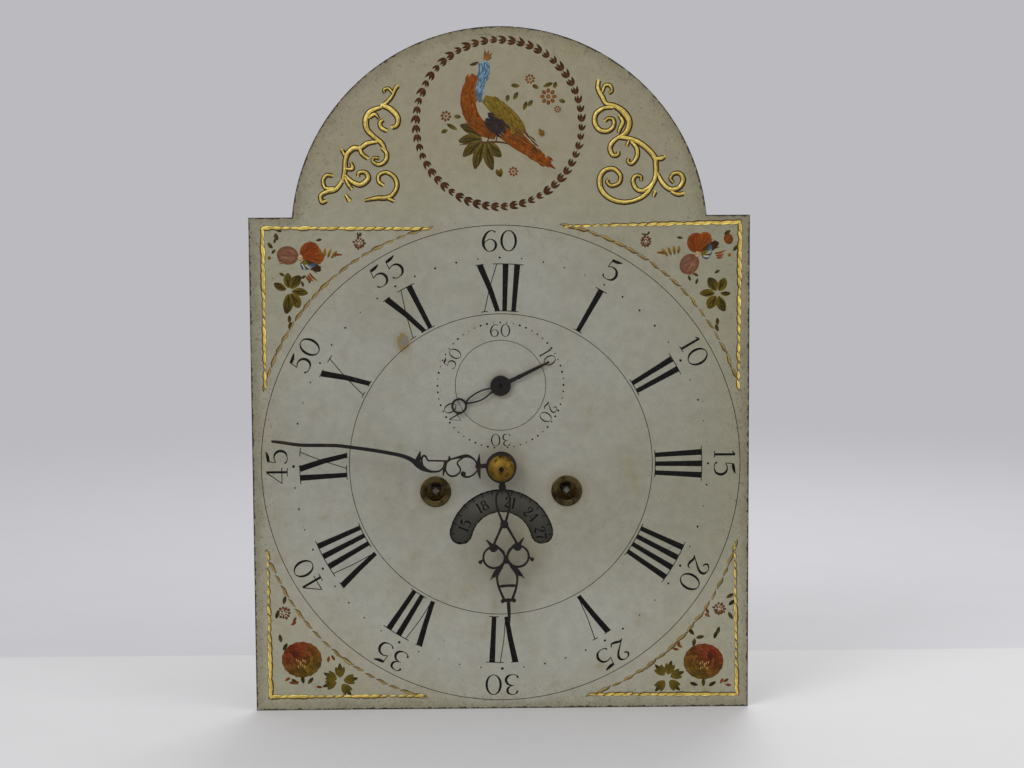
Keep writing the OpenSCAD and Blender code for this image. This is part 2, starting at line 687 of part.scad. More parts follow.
module bell_stand() color(steel) {
  swing = atan2(stand_y1 - 1.5, stand_screws[0][0] - bell_x);
  reach = norm([stand_screws[0][0] - bell_x, stand_y1 - 1.5]);
  difference() {
    translate([stand_screws[0][0] - 5, plate_out, stand_screws[0][1] - 6])
      cube([10, 3, stand_z + 4 - stand_screws[0][1] + 6]);
    for (p = stand_screws) rod(p, plate_out - 1, stand_y1 + 1, frame_screw_r + 0.05);
  }
  translate([bell_x, 0, stand_z]) rotate([0, 0, swing])
    translate([0, -4, 0]) cube([reach, 8, 4]);
  translate([bell_x, 0, stand_z]) cylinder(h = bell_top_z - bell_wall - 0.1 - stand_z, r = post_r);
  translate([bell_x, 0, stand_z]) cylinder(h = bell_top_z + 6 - stand_z, r = 2);
}
module screw(p, y_face, length, head = 3) difference() {
  union() {
    rod(p, y_face, y_face + 2, head);
    rod(p, y_face - length, y_face + 1, frame_screw_r);
  }
  translate([p[0] - head - 1, y_face + 1.2, p[1] - 0.35]) cube([2*head + 2, 1.8, 0.7]);
}
module frame_screws() color(steel) {
  for (p = bridge_screws) screw(p, -plate_in, plate_t + 5);
  for (p = cock_screws) screw(p, cock_y1, 6);
  for (p = stand_screws) screw(p, stand_y1, 6);
}

// Bell and hammer
module bell() color([0.7, 0.66, 0.52]) translate([bell_x, 0, bell_z]) {
  steps = 8;
  inner_r = bell_r - bell_wall;
  inner_h = bell_h - bell_wall;
  outer = [for (i = [0:steps]) [bell_r*cos(85*i/steps), bell_h*sin(90*i/steps)]];
  inner = [for (i = [steps:-1:0]) [inner_r*cos(85*i/steps), inner_h*sin(90*i/steps)]];
  rotate_extrude($fn = 120) polygon(concat(outer, [[2.1, bell_h],
    [2.1, bell_h - bell_wall]], inner));
}
module bell_nut() color(steel) translate([bell_x, 0, bell_top_z]) difference() {
  cylinder(h = 3.5, r = 5, $fn = 6);
  translate([0, 0, -1]) cylinder(h = 6, r = 2.05);
}
head_x1 = bell_x - sqrt(pow(bell_r, 2) - pow(hammer_y - hammer_head_r, 2)) - hammer_gap;
hammer_z = bell_z + hammer_head_r;
hammer_pin_r = 0.9;
tail_l = norm(pin_p - hammer_p) - pin_circle_r - hammer_pin_r - idle;
module hammer() color(steel) {
  arbor(hammer_p, 1.8);
  stem_x = head_x1 - 3;
  slab(hammer_y - 1, hammer_y + 1) difference() {
    union() {
      disc(hammer_p, 4);
      bar(hammer_p, [stem_x, 150], 3.6, 3.2);
      bar([stem_x, 149], [stem_x, hammer_z], 3.2, 2.4);
    }
    disc(hammer_p, 1.7);
  }
  translate([head_x1, hammer_y, hammer_z]) rotate([0, -90, 0])
    cylinder(h = 9, r = hammer_head_r);
  tip = hammer_p + pol(tail_l, bearing(hammer_p, pin_p));
  slab(tail_y, tail_y + 2) difference() {
    union() {
      disc(hammer_p, 3.4);
      bar(hammer_p, tip, 4.4, 1.6);
    }
    disc(hammer_p, 1.7);
  }
  slab(22, 24) difference() {
    union() {
      disc(hammer_p, 3.4);
      bar(hammer_p, hammer_p + [-1, -8], 5, 3);
    }
    disc(hammer_p, 1.7);
  }
}
spring_p = [-60, 96];
module hammer_spring() color(steel) {
  rod(spring_p, plate_in - 3, plate_out - 0.2, frame_screw_r);
  slab(21.5, plate_in) difference() {
    translate(spring_p - [3.5, 5]) square([7, 10]);
    disc(spring_p, frame_screw_r - 0.05);
  }
  slab(21.5, 24.5) bar(spring_p + [2.2, 4], hammer_p + [3.4, -7], 1.2, 0.8);
}

// Barrels
barrel_core_r = barrel_r - 1.6;
groove_pitch = (barrel_l - 4)/groove_n;
module barrel(p) color(brass) {
  translate([p[0], barrel_y1, p[1]]) rotate([90, 0, 0]) rotate_extrude($fn = 72)
    polygon(concat([[barrel_arbor_r + 0.02, 0], [barrel_r + 2, 0], [barrel_r + 2, 2]],
      [for (i = [0:groove_n - 1], q = [[barrel_r - 0.8, 0.15], [barrel_r - 1.5, 0.5],
        [barrel_r - 0.8, 0.85]]) [q[0], 2 + (i + q[1])*groove_pitch]],
      [[barrel_r + 1, barrel_l - 2], [barrel_r + 1, barrel_l],
      [barrel_arbor_r + 0.02, barrel_l]]));
}
module going_barrel() barrel(going_p);
module strike_barrel() barrel(strike_p);
ratchet_n = 24;
ratchet_r = 17;
ratchet_depth = 2;
module barrel_arbor(p) color(steel) {
  rod(p, -plate_out - 0.3, great_y1 + 0.4, barrel_arbor_r);
  rod(p, great_y1 + 0.3, plate_in - 0.3, barrel_arbor_r);
  rod(p, plate_in - 0.4, plate_out, barrel_arbor_r - 1);
  square_rod(p, dial_front + 3.2, -plate_out - 0.2, winding_square);
  slab(ratchet_y0, ratchet_y1) at(p) difference() {
    ratchet_teeth(ratchet_n, ratchet_r, ratchet_depth);
    flat_bore(barrel_arbor_r);
  }
  slab(great_y1 + 0.3, great_y1 + 2.2) at(p) difference() {
    circle(r = 9, $fn = 12);
    flat_bore(barrel_arbor_r);
  }
}
module going_barrel_arbor() barrel_arbor(going_p);
module strike_barrel_arbor() barrel_arbor(strike_p);
// Great wheel: a plain disc that carries the click and its spring
module great_wheel(p, n, turn) color(brass) slab(great_y, great_y1) at(p) difference() {
  rotate(turn) teeth(n, great_m);
  flat_bore(barrel_arbor_r + 0.04);
}
module going_great_wheel() great_wheel(going_p, great_n, bearing(going_p, centre_p));
module strike_great_wheel() great_wheel(strike_p, strike_great_n, bearing(strike_p, pin_p));
click_bearing = -100;
click_pivot_r = 25;
click_screw_r = 1.2;
function click_pivot(p) = p + pol(click_pivot_r, click_bearing);
module click(p) color(steel) {
  pivot = click_pivot(p);
  slab(ratchet_y0 + 0.1, great_y - 0.1) difference() {
    union() {
      disc(pivot, 3);
      bar(pivot, p + pol(ratchet_r + idle, click_bearing + 35), 3.2, 1);
    }
    disc(pivot, click_screw_r + fit);
  }
}
module going_click() click(going_p);
module strike_click() click(strike_p);
// Click spring with its foot, and the screw that the click turns on
module click_spring(p) color(steel) {
  foot = p + pol(click_pivot_r + 4, click_bearing + 62);
  slab(ratchet_y0 + 0.3, great_y) {
    translate(foot) circle(r = 3, $fn = 12);
    bar(foot, p + pol(click_pivot_r + 2.6, click_bearing + 14), 1.6, 0.8);
  }
  rod(click_pivot(p), ratchet_y0, great_y, click_screw_r);
}
module going_click_spring() click_spring(going_p);
module strike_click_spring() click_spring(strike_p);

// Going train
module centre_arbor() color(steel) {
  difference() {
    union() {
      rod(centre_p, collet_pin_y - 2.2, plate_in - 0.4, centre_arbor_r);
      rod(centre_p, plate_in - 0.5, plate_out, pivot_r);
    }
    collet_pin(0.03);
  }
  pinion(centre_p, great_y - 1, great_y1 + 1, pinion_n, great_m,
    gap_turn(centre_p, going_p, pinion_n), centre_arbor_r);
}
module centre_wheel() color(brass) {
  wheel(centre_p, centre_wheel_y, wheel_t, centre_n, train_m, bearing(centre_p, third_p),
    centre_arbor_r);
  hub(centre_p, centre_wheel_y + wheel_t, centre_wheel_y + wheel_t + 3, 4, centre_arbor_r);
}
module third_arbor() color(steel) {
  arbor(third_p, arbor_r);
  pinion(third_p, centre_wheel_y - 1, centre_wheel_y + wheel_t + 1, pinion_n, train_m,
    gap_turn(third_p, centre_p, pinion_n), arbor_r);
}
module third_wheel() color(brass) {
  wheel(third_p, third_wheel_y, wheel_t, third_n, train_m, bearing(third_p, escape_p),
    arbor_r, hub = 5);
  hub(third_p, third_wheel_y - 3, third_wheel_y, 3.2, arbor_r);
}
module escape_arbor() color(steel) {
  arbor(escape_p, arbor_r);
  rod(escape_p, seconds_y1 - 1, -plate_out, pivot_r);
  pinion(escape_p, third_wheel_y - 1, third_wheel_y + wheel_t + 1, escape_pinion_n,
    train_m, gap_turn(escape_p, third_p, escape_pinion_n), arbor_r);
}
escape_root_r = escape_r - 4;
module escape_wheel() color(brass) {
  slab(escape_wheel_y, escape_wheel_y + wheel_t) at(escape_p) rotate(135 + 90/escape_n)
    difference() {
      polygon([for (i = [0:escape_n - 1], q = [[0, escape_r], [0.05, escape_r],
        [0.3, escape_root_r], [0.94, escape_root_r]]) pol(q[1], (i + q[0])*360/escape_n)]);
      windows(4, 5, escape_root_r - 2.2, 2.6);
      flat_bore(arbor_r);
    }
  hub(escape_p, escape_wheel_y - 3, escape_wheel_y, 3.2, arbor_r);
}

// Escapement
nib_bearing = 90 - 180*pallet_span/escape_n;
anchor_y0 = escape_wheel_y - 0.7;
anchor_y1 = escape_wheel_y + wheel_t + 0.7;
crutch_y = plate_out + 4;
crutch_drop = 86;
crutch_slot = 4.6;
module pallet_arbor() color(steel) {
  rod(pallet_p, -plate_in + 0.4, cock_arm_y - 0.4, arbor_r);
  rod(pallet_p, -plate_out, -plate_in + 0.5, pivot_r);
  rod(pallet_p, cock_arm_y - 0.5, cock_arm_y + 3, pivot_r);
}
module anchor_pallets() color(steel) slab(anchor_y0, anchor_y1) difference() {
  union() {
    translate(pallet_p) circle(r = 4.4, $fn = 12);
    for (s = [-1, 1]) {
      toe = escape_p + [s, 1]*(escape_r + 2*idle)*sin(nib_bearing);
      knee = toe + [s*1.8, 6.6];
      bar(pallet_p, knee, 5.4, 3.6);
      bar(knee + [-s*0.2, 1.4], toe + [-s*0.1, 0.1], 3.4, 1.1);
    }
  }
  at(pallet_p) flat_bore(arbor_r);
}
module crutch() color(steel) {
  slab(crutch_y, crutch_y + 2) difference() {
    union() {
      disc(pallet_p, 4);
      bar(pallet_p, pallet_p - [0, crutch_drop], 5, 3.4);
    }
    disc(pallet_p, arbor_r + 0.02);
  }
  z = pallet_p[1] - crutch_drop;
  translate([-1.7, crutch_y + 0.5, z]) cube([3.4, suspension_y - crutch_y - 10, 2]);
  difference() {
    translate([-crutch_slot/2 - 2, suspension_y - 9, z]) cube([crutch_slot + 4, 18, 2]);
    translate([-crutch_slot/2, suspension_y - 6.5, z - 1]) cube([crutch_slot, 13, 4]);
  }
}

// Strike train
module pin_wheel_arbor() color(steel) {
  arbor(pin_p, arbor_r);
  pinion(pin_p, great_y - 1, great_y1 + 1, pinion_n, great_m,
    gap_turn(pin_p, strike_p, pinion_n), arbor_r);
}
module pin_wheel() color(brass) {
  wheel(pin_p, pin_wheel_y, wheel_t, pin_n, pin_m, bearing(pin_p, gathering_p), arbor_r,
    hub = 5, rim = 4.6);
  hub(pin_p, pin_wheel_y + wheel_t, pin_wheel_y + wheel_t + 3, 3.2, arbor_r);
  for (i = [0:hammer_pins - 1]) rod(pin_p + pol(pin_circle_r, i*360/hammer_pins),
    pin_end_y, pin_wheel_y, hammer_pin_r);
}
module gathering_arbor() color(steel) {
  arbor(gathering_p, arbor_r);
  rod(gathering_p, gather_tail_y0 - 0.6, -plate_out, pivot_r);
  pinion(gathering_p, pin_wheel_y - 1, pin_wheel_y + wheel_t + 1, small_pinion_n, pin_m,
    gap_turn(gathering_p, pin_p, small_pinion_n), arbor_r);
}
module gathering_wheel() color(brass) {
  wheel(gathering_p, gathering_wheel_y, wheel_t, pin_n, gathering_m,
    bearing(gathering_p, warning_p), arbor_r, hub = 4.4, rim = 2.4);
  hub(gathering_p, gathering_wheel_y - 3, gathering_wheel_y, 3, arbor_r);
}
stop_pin_r = 0.8;
gather_tail_l = 11;
stop_pin_p = rack_p + pol(34, bearing(rack_p, gathering_p)
  + acos((pow(34, 2) + pow(norm(gathering_p - rack_p), 2)
  - pow(gather_tail_l + stop_pin_r + idle, 2))/(68*norm(gathering_p - rack_p))));
module gathering_pallet() color(steel) {
  tail_a = bearing(gathering_p, stop_pin_p);
  slab(gather_tail_y0, gather_tail_y1) at(gathering_p) difference() {
    union() {
      circle(r = 3, $fn = 12);
      bar([0, 0], pol(gather_tail_l, tail_a), 4, 2);
    }
    flat_bore(pivot_r);
  }
  slab(gather_tail_y1, rack_y1) at(gathering_p) difference() {
    union() {
      circle(r = 2.2, $fn = 12);
      bar([0, 0], pol(gather_nib_r, tail_a + 180), 3, 1.2);
    }
    flat_bore(pivot_r);
  }
}
warning_pin_r = 0.7;
warning_circle_r = 11;
module warning_arbor() color(steel) {
  arbor(warning_p, arbor_r);
  pinion(warning_p, gathering_wheel_y - 1, gathering_wheel_y + wheel_t + 1, pinion_n,
    gathering_m, gap_turn(warning_p, gathering_p, pinion_n), arbor_r);
}
module warning_wheel() color(brass) {
  wheel(warning_p, warning_wheel_y, wheel_t, warning_n, warning_m,
    bearing(warning_p, fly_p), arbor_r, hub = 4, rim = 2);
  hub(warning_p, warning_wheel_y + wheel_t, warning_wheel_y + wheel_t + 2.4, 2.8, arbor_r);
  rod(warning_p + pol(warning_circle_r, 180), warning_wheel_y - 3, warning_wheel_y,
    warning_pin_r);
}
module fly_arbor() color(steel) {
  arbor(fly_p, arbor_r);
  pinion(fly_p, warning_wheel_y - 1, warning_wheel_y + wheel_t + 1, small_pinion_n,
    warning_m, gap_turn(fly_p, warning_p, small_pinion_n), arbor_r);
}
module fly_vane() color(brass) translate([fly_p[0], 0, fly_p[1]]) rotate([0, 25, 0]) {
  for (s = [-1, 1]) translate([s > 0 ? arbor_r + 0.5 : -fly_half, fly_y0, -0.35])
    cube([fly_half - arbor_r - 0.5, fly_l, 0.7]);
  translate([0, fly_y1, 0]) rotate([90, 0, 0]) difference() {
    cylinder(h = fly_l, r = arbor_r + 1);
    translate([0, 0, -1]) cylinder(h = fly_l + 2, r = arbor_r + 0.04);
  }
}

// Motion work
minute_m = minute_d/minute_n;
hour_m = 2*minute_d/(13*minute_pinion_n);
hour_n = 12*minute_pinion_n;
lift_circle_r = 11;
lift_pin_r = 0.8;
module cannon_wheel() color(brass) {
  wheel(centre_p, cannon_y0, wheel_t, minute_n, minute_m, bearing(centre_p, minute_p),
    cannon_pipe_r, hub = 6, rim = 2);
  tube(centre_p, minute_hand_y1 - hand_t, -plate_out - 0.4, cannon_pipe_r,
    centre_arbor_r + 0.03);
}
module minute_wheel() color(brass) {
  bore = stud_r[0] + fit - 0.03;
  wheel(minute_p, cannon_y0, wheel_t, minute_n, minute_m,
    gap_turn(minute_p, centre_p, minute_n), bore, hub = 4, rim = 3.6);
  pinion(minute_p, hour_wheel_y0 - 0.6, cannon_y0, minute_pinion_n, hour_m,
    gap_turn(minute_p, centre_p, minute_pinion_n), bore);
  rod(minute_p + pol(lift_circle_r, 200), lift_y0 - 0.2, cannon_y0, lift_pin_r);
}
module hour_bridge() color(brass) {
  difference() {
    union() {
      slab(bridge_y0, bridge_y1) translate(centre_p - [5, 24]) square([10, 48]);
      for (p = bridge_screws) rod(p, bridge_y1 - 0.5, -plate_out, 3.6);
      rod(centre_p, date_drive_y0 - 1, bridge_y0 + 0.5, bridge_pipe_r);
    }
    rod(centre_p, -dial_w, dial_w, cannon_pipe_r + fit);
    for (p = bridge_screws) rod(p, -plate_out - 6, -plate_in, frame_screw_r + 0.05);
  }
}
module hour_wheel() color(brass) {
  wheel(centre_p, hour_wheel_y0, wheel_t, hour_n, hour_m, bearing(centre_p, minute_p),
    hour_pipe_r, hub = 9, rim = 3);
  wheel_y = date_drive_y0;
  slab(wheel_y, wheel_y + wheel_t) at(centre_p) difference() {
    rotate(bearing(centre_p, date_wheel_p)) teeth(20, date_m);
    flat_bore(hour_pipe_r);
  }
  tube(centre_p, hour_hand_y1 - hand_t, hour_wheel_y1, hour_pipe_r, bridge_pipe_r + fit);
}
module snail() color(steel) slab(snail_y0, snail_y1) at(centre_p) difference() {
  polygon([for (hour = [1:12], q = arc(snail_r(hour), -15, 15, 6))
    let (turn = snail_face + to_strike + (hour - next_hour)*30)
    [q[0]*cos(turn) - q[1]*sin(turn), q[0]*sin(turn) + q[1]*cos(turn)]]);
  flat_bore(hour_pipe_r);
}

// Strike work on the front plate
rack_end = 41;
rack_teeth = 18;
module rack() color(steel) {
  slab(rack_y0, rack_y1) difference() {
    union() {
      disc(rack_p, 5);
      bar(rack_p, rack_p + pol(rack_root_r - 2, 84), 8, 5);
      at(rack_p) polygon(concat([for (i = [0:rack_teeth - 1], q = [[0, rack_root_r],
        [0.94, rack_tip_r]]) pol(q[1], rack_end + (i + q[0])*rack_step)],
        arc(rack_root_r + 0.6, 96, 110, 5), arc(rack_root_r - 4.2, 110, rack_end, 16)));
    }
    disc(rack_p, stud_r[1] + fit);
  }
  tube(rack_p, rack_tail_y0, rack_y0 + 0.5, 3.6, stud_r[1] + fit);
  tip = rack_p + pol(rack_tail_l, centre_bearing + tail_rest);
  slab(rack_tail_y0, rack_tail_y1) difference() {
    union() {
      disc(rack_p, 4.6);
      bar(rack_p, tip, 4, 2.6);
      disc(tip, 1.6);
    }
    disc(rack_p, stud_r[1] + fit);
  }
  rod(tip, rack_tail_y1 - 0.5, snail_y1 - 0.2, tail_pin_r);
  rod(stop_pin_p, gather_tail_y0, rack_y0 + 0.5, stop_pin_r);
}
hook_pin_p = [-24, 108];
hook_pin_r = 0.8;
module rack_hook() color(steel) {
  nib = rack_p + pol(rack_tip_r + idle, 80);
  slab(rack_y0, rack_y1) difference() {
    union() {
      disc(hook_p, lever_w);
      bar(hook_p, hook_p + [-21, 4], lever_w + 1, lever_w - 0.4);
      bar(hook_p + [-20.6, 4], hook_pin_p + [-1, 0.2], lever_w - 0.4, 3.4);
      bar(hook_pin_p + [-1.4, 1.4], nib, 4, 1);
    }
    disc(hook_p, stud_r[2] + fit);
  }
  rod(hook_pin_p, lift_y0, rack_y0 + 0.5, hook_pin_r);
}
lift_tail_l = norm(lifting_p - minute_p) - lift_circle_r - lift_pin_r - idle;
module lifting_piece() color(steel) {
  arm_end = hook_pin_p - [2, hook_pin_r + idle + 0.2 + lever_w*0.45];
  slab(lift_y0, lift_y1) difference() {
    union() {
      disc(lifting_p, 5);
      bar(lifting_p, arm_end, lever_w + 1, lever_w*0.8);
      bar(lifting_p, lifting_p + pol(lift_tail_l, bearing(lifting_p, minute_p)), 5, 2);
      translate([-20, arm_end[1]]) square([4, warning_tab_z + 3 - arm_end[1]]);
    }
    disc(lifting_p, stud_r[3] + fit);
  }
  translate([-20, lift_y1 - 0.4, warning_tab_z])
    cube([4, warning_tab_y - lift_y1 + 0.4, 3]);
}
warning_tab_z = 113.5;
warning_tab_y = -28.9;
module strikework_studs() color(steel) {
  ends = [hour_wheel_y0 - 1.2, rack_tail_y0 - 0.4, rack_y0 - 0.4, lift_y0 - 0.4];
  for (i = [0:3]) {
    rod(stud_places[i], ends[i], -plate_in, stud_r[i]);
    if (i > 0) rod(stud_places[i], ends[i] - 0.6, ends[i] + 0.1, stud_r[i] + 1);
  }
  rod(lifting_p, lift_y1 + 0.3, -plate_out, stud_r[3] + 2);
}

dial_plate();
dial_feet();
taper_pins();
winding_collets();
date_disc();
date_studs();
date_jumper();
date_wheel();
seconds_hand();
minute_hand();
hour_hand();
hand_collet();
front_plate();
back_plate();
lower_pillars();
upper_pillars();
back_cock();
bell_stand();
frame_screws();
bell();
bell_nut();
going_barrel();
going_barrel_arbor();
going_great_wheel();
going_click();
going_click_spring();
centre_arbor();
centre_wheel();
third_arbor();
third_wheel();
escape_arbor();
escape_wheel();
pallet_arbor();
anchor_pallets();
crutch();
strike_barrel();
strike_barrel_arbor();
strike_great_wheel();
strike_click();
strike_click_spring();
pin_wheel_arbor();
pin_wheel();
gathering_arbor();
gathering_wheel();
gathering_pallet();
warning_arbor();
warning_wheel();
fly_arbor();
fly_vane();
hammer();
hammer_spring();
cannon_wheel();
hour_bridge();
hour_wheel();
snail();
minute_wheel();
rack();
rack_hook();
lifting_piece();
strikework_studs();
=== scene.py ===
"""Longcase clock movement with a painted break-arch dial: finishes, painting and stage.

Every length in the drawing lists is in millimetres, seen from the front: x to the
right and z up. A painted list is measured from the middle of the chapter ring.
"""

import json
import math
import random

import bmesh
import bpy
from mathutils import Matrix, Vector


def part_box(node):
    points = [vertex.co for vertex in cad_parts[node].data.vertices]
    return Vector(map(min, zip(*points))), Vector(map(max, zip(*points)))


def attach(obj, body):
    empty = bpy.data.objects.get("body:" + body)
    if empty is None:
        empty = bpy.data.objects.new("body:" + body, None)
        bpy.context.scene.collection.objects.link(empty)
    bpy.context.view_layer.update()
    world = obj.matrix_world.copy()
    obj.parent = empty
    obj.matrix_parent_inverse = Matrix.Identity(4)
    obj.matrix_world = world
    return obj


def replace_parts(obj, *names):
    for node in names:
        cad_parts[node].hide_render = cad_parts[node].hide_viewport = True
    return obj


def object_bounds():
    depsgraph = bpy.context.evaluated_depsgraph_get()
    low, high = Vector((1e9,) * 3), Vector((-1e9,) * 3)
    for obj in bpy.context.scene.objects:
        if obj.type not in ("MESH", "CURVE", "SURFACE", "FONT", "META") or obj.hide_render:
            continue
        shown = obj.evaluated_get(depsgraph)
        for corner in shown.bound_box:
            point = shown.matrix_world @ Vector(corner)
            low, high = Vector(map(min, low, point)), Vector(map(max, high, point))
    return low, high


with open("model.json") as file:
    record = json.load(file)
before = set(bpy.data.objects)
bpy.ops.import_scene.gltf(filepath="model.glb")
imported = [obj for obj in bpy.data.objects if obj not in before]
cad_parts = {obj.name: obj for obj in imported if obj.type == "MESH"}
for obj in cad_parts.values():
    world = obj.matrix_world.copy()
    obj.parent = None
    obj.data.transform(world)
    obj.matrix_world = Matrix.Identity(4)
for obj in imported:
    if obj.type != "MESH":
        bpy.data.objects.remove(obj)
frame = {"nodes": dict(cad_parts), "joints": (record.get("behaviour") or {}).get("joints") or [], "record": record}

bl_info = {
    "name": "Longcase clock movement",
    "version": (1, 0, 0),
    "blender": (4, 5, 0),
    "location": "View3D > Sidebar > Clock",
    "description": "Paints the dial and finishes the movement of an eight-day longcase clock",
    "category": "Object",
}

MM = 0.001
CAD_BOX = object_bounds()
NODES = frame["nodes"]
AXIS = {j["name"]: Vector(j["pos_m"]) / MM for j in frame["joints"]}


def axis(joint):
    """Where a joint's axis stands on the dial, as (x, z)."""
    return Vector((AXIS[joint].x, AXIS[joint].z))


def node_box(node):
    return [Vector(corner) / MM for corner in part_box(node)]


CENTRE = axis("centre_turn")
SECONDS = axis("escape_turn")
DATE = axis("date_turn")
WINDING = [axis("going_winding"), axis("strike_winding")]
DIAL_LOW, DIAL_HIGH = node_box("dial_plate")
DIAL_FACE = DIAL_LOW.y
# Paint starts a hair inside the sheet, so that no gap shows under it
PAINT_BACK = DIAL_FACE + 0.01
# The arch's radius, and how far the shoulders stand above its centre
ARCH_RADIUS, SHOULDER_RISE = 126.6, 12.3
# The middle of the chip left of twelve, from the middle of the chapter ring
CHIP = Vector((-59.4, 76.2))
# The date window: its outer and inner radius, and half its angle
WINDOW_OUTER, WINDOW_INNER, WINDOW_HALF = 32.3, 18.8, 77.4
# How far the feet of the hour figures stand off their circle
FOOT_GAP = 1.3
# The wreath's middle, from the middle of the chapter ring
WREATH = Vector((0, 208.4))
WREATH_RADIUS = 50.2
# The seconds: radius of their feet, their height, and the radius of their ring of dots
SECONDS_FOOT, SECONDS_HEIGHT, SECONDS_DOTS = 29.8, 7.8, 38.6
# The date: radius of the figures' feet, their height, and the two ends of a day's tick
DATE_FOOT, DATE_HEIGHT, TICK_ENDS = 21.4, 6.6, (29.2, 32)
# Half the width of the table in metres, and where the backdrop meets it, behind the movement
TABLE_HALF, BACKDROP_FOOT = 7.0, 92.6
# The camera's place, its yaw, pitch and roll and its lens, found from the corners of the dial
CAMERA_PLACE, CAMERA_AIM, LENS = (-13.0, -1464.0, 259.8), (-0.0143, 0.1022, -0.0059), 80.85
# Radius of the holes, thickness of the hands, and the bearing of each hand in degrees
WINDING_HOLE, HOUR_HOLE, MINUTE_HOLE, SECONDS_HOLE = 5.75, 5.56, 2.83, 0.83
HAND_THICK, SECONDS_THICK = 0.88, 0.6
BEARINGS = {"hour_hand": 177.3, "minute_hand": 276, "seconds_hand": 64.2}


def srgb(red, green, blue):
    """A colour written as a screen shows it, from 0 to 255."""
    out = []
    for part in (red, green, blue):
        part /= 255
        out.append(part / 12.92 if part <= 0.04045 else ((part + 0.055) / 1.055) ** 2.4)
    return tuple(out)


def colour_property(name, description, default):
    return bpy.props.FloatVectorProperty(
        name=name, description=description, subtype="COLOR", size=3, min=0, max=1,
        default=srgb(*default))


def length_property(name, description, default):
    return bpy.props.FloatProperty(
        name=name, description=description, subtype="DISTANCE", unit="LENGTH", min=0,
        default=default * MM)


class ClockDialSettings(bpy.types.PropertyGroup):
    ground: colour_property("Ground", "Painted ground inside the chapter ring", (145, 144, 134))
    margin: colour_property("Margin", "Ground of the corners and of the arch", (138, 134, 112))
    edge: colour_property("Edge", "Grime along the edges", (104, 97, 72))
    bare_iron: colour_property("Bare iron", "Back and chipped edges of the sheet", (50, 44, 38))
    figures: colour_property("Figures", "Black of the numerals and circles", (13, 13, 12))
    gold: colour_property("Gold", "Gilt scrolls and roped borders", (208, 184, 88))
    # The brown outline is also laid a little low and right, as the scrolls' painted shadow
    outline: colour_property("Gilt outline", "Brown line round the gilding", (58, 42, 20))
    # The date disc's colour is darkened as painted shade of the window's recess
    date_ground: colour_property("Date disc", "Painted date disc, in the shade", (82, 81, 74))
    roman_foot: length_property("Hour figures' feet", "Radius of their inner ends", 93.5)
    roman_top: length_property("Hour figures' tops", "Radius of their outer ends", 123.5)
    minute_dots: length_property("Minute dots", "Radius of the ring of dots", 127.2)
    arabic_foot: length_property("Minute figures' feet", "Radius of their baseline", 131)
    arabic_height: length_property("Minute figures' height", "Height of the figures", 13)
    outer_circle: length_property("Outer circle", "Radius of the outer thin circle", 147)
    seconds_circle: length_property("Seconds circle", "Radius of the seconds circle", 27.7)
    relief: length_property("Paint relief", "Thickness of a coat of paint", 0.05)


class ClockHandSettings(bpy.types.PropertyGroup):
    blue: colour_property("Hands", "Blued steel, darkened with age", (30, 28, 29))
    rust: colour_property("Rust", "Brown patches on the hands", (58, 42, 28))
    hour_boss: length_property("Hour boss", "Radius of the hour hand's boss", 9.4)
    minute_boss: length_property("Minute boss", "Radius of the minute hand's boss", 9.1)
    seconds_boss: length_property("Seconds boss", "Radius of the seconds hand's boss", 6.3)


class ClockMetalSettings(bpy.types.PropertyGroup):
    brass: colour_property("Brass", "Plates, pillars and wheels", (190, 158, 92))
    tarnish: colour_property("Tarnish", "Dark patches on brass", (112, 86, 44))
    old_brass: colour_property("Old brass", "Winding collets", (86, 74, 46))
    steel: colour_property("Steel", "Arbors, levers and screws", (150, 148, 144))
    iron: colour_property("Iron", "Dial feet", (72, 66, 60))
    bell: colour_property("Bell metal", "Bell", (176, 158, 112))


class ClockStageSettings(bpy.types.PropertyGroup):
    table: colour_property("Table", "Colour of the table", (199, 198, 200))
    backdrop: colour_property("Backdrop", "Colour behind the table", (187, 186, 191))
    fill: bpy.props.FloatProperty(name="Fill", description="Even light from all round", default=0.75)
    key: bpy.props.FloatProperty(name="Key", description="Power of the soft lamp", subtype="POWER",
                                 unit="POWER", default=31)


# Drawing


def smooth(points, steps):
    """Points along a soft curve through the given ones. Each is (x, z, width)."""
    last = len(points) - 1
    out = []
    for i in range(last):
        a, b, c, d = (Vector(points[min(max(i + k, 0), last)]) for k in (-1, 0, 1, 2))
        for step in range(steps):
            t = step / steps
            out.append(0.5 * (2 * b + (c - a) * t + (2 * a - 5 * b + 4 * c - d) * t * t
                              + (3 * b - a - 3 * c + d) * t ** 3))
    return out + [Vector(points[-1])]


def smoothed(mesh, crease):
    """The mesh shaded smooth, but for its edges sharper than crease degrees."""
    for face in mesh.polygons:
        face.use_smooth = True
    mesh.set_sharp_from_angle(angle=math.radians(crease))
    return mesh


def blend(first, last, share):
    return [a + (b - a) * share for a, b in zip(first, last)]


def shaded(colour, factor):
    return [v * factor for v in colour]


CREASE = 35
# Cross sections of a stroke, as (side, height) from left to right
FLAT = ((-1, 0), (-0.9, 1), (0.9, 1), (1, 0))
ROUND = ((-1, 0), (-0.8, 0.6), (-0.4, 0.92), (0, 1), (0.4, 0.92), (0.8, 0.6), (1, 0))
FILED = ((-1, 0), (-1, 0.7), (-0.7, 1), (0.7, 1), (1, 0.7), (1, 0))


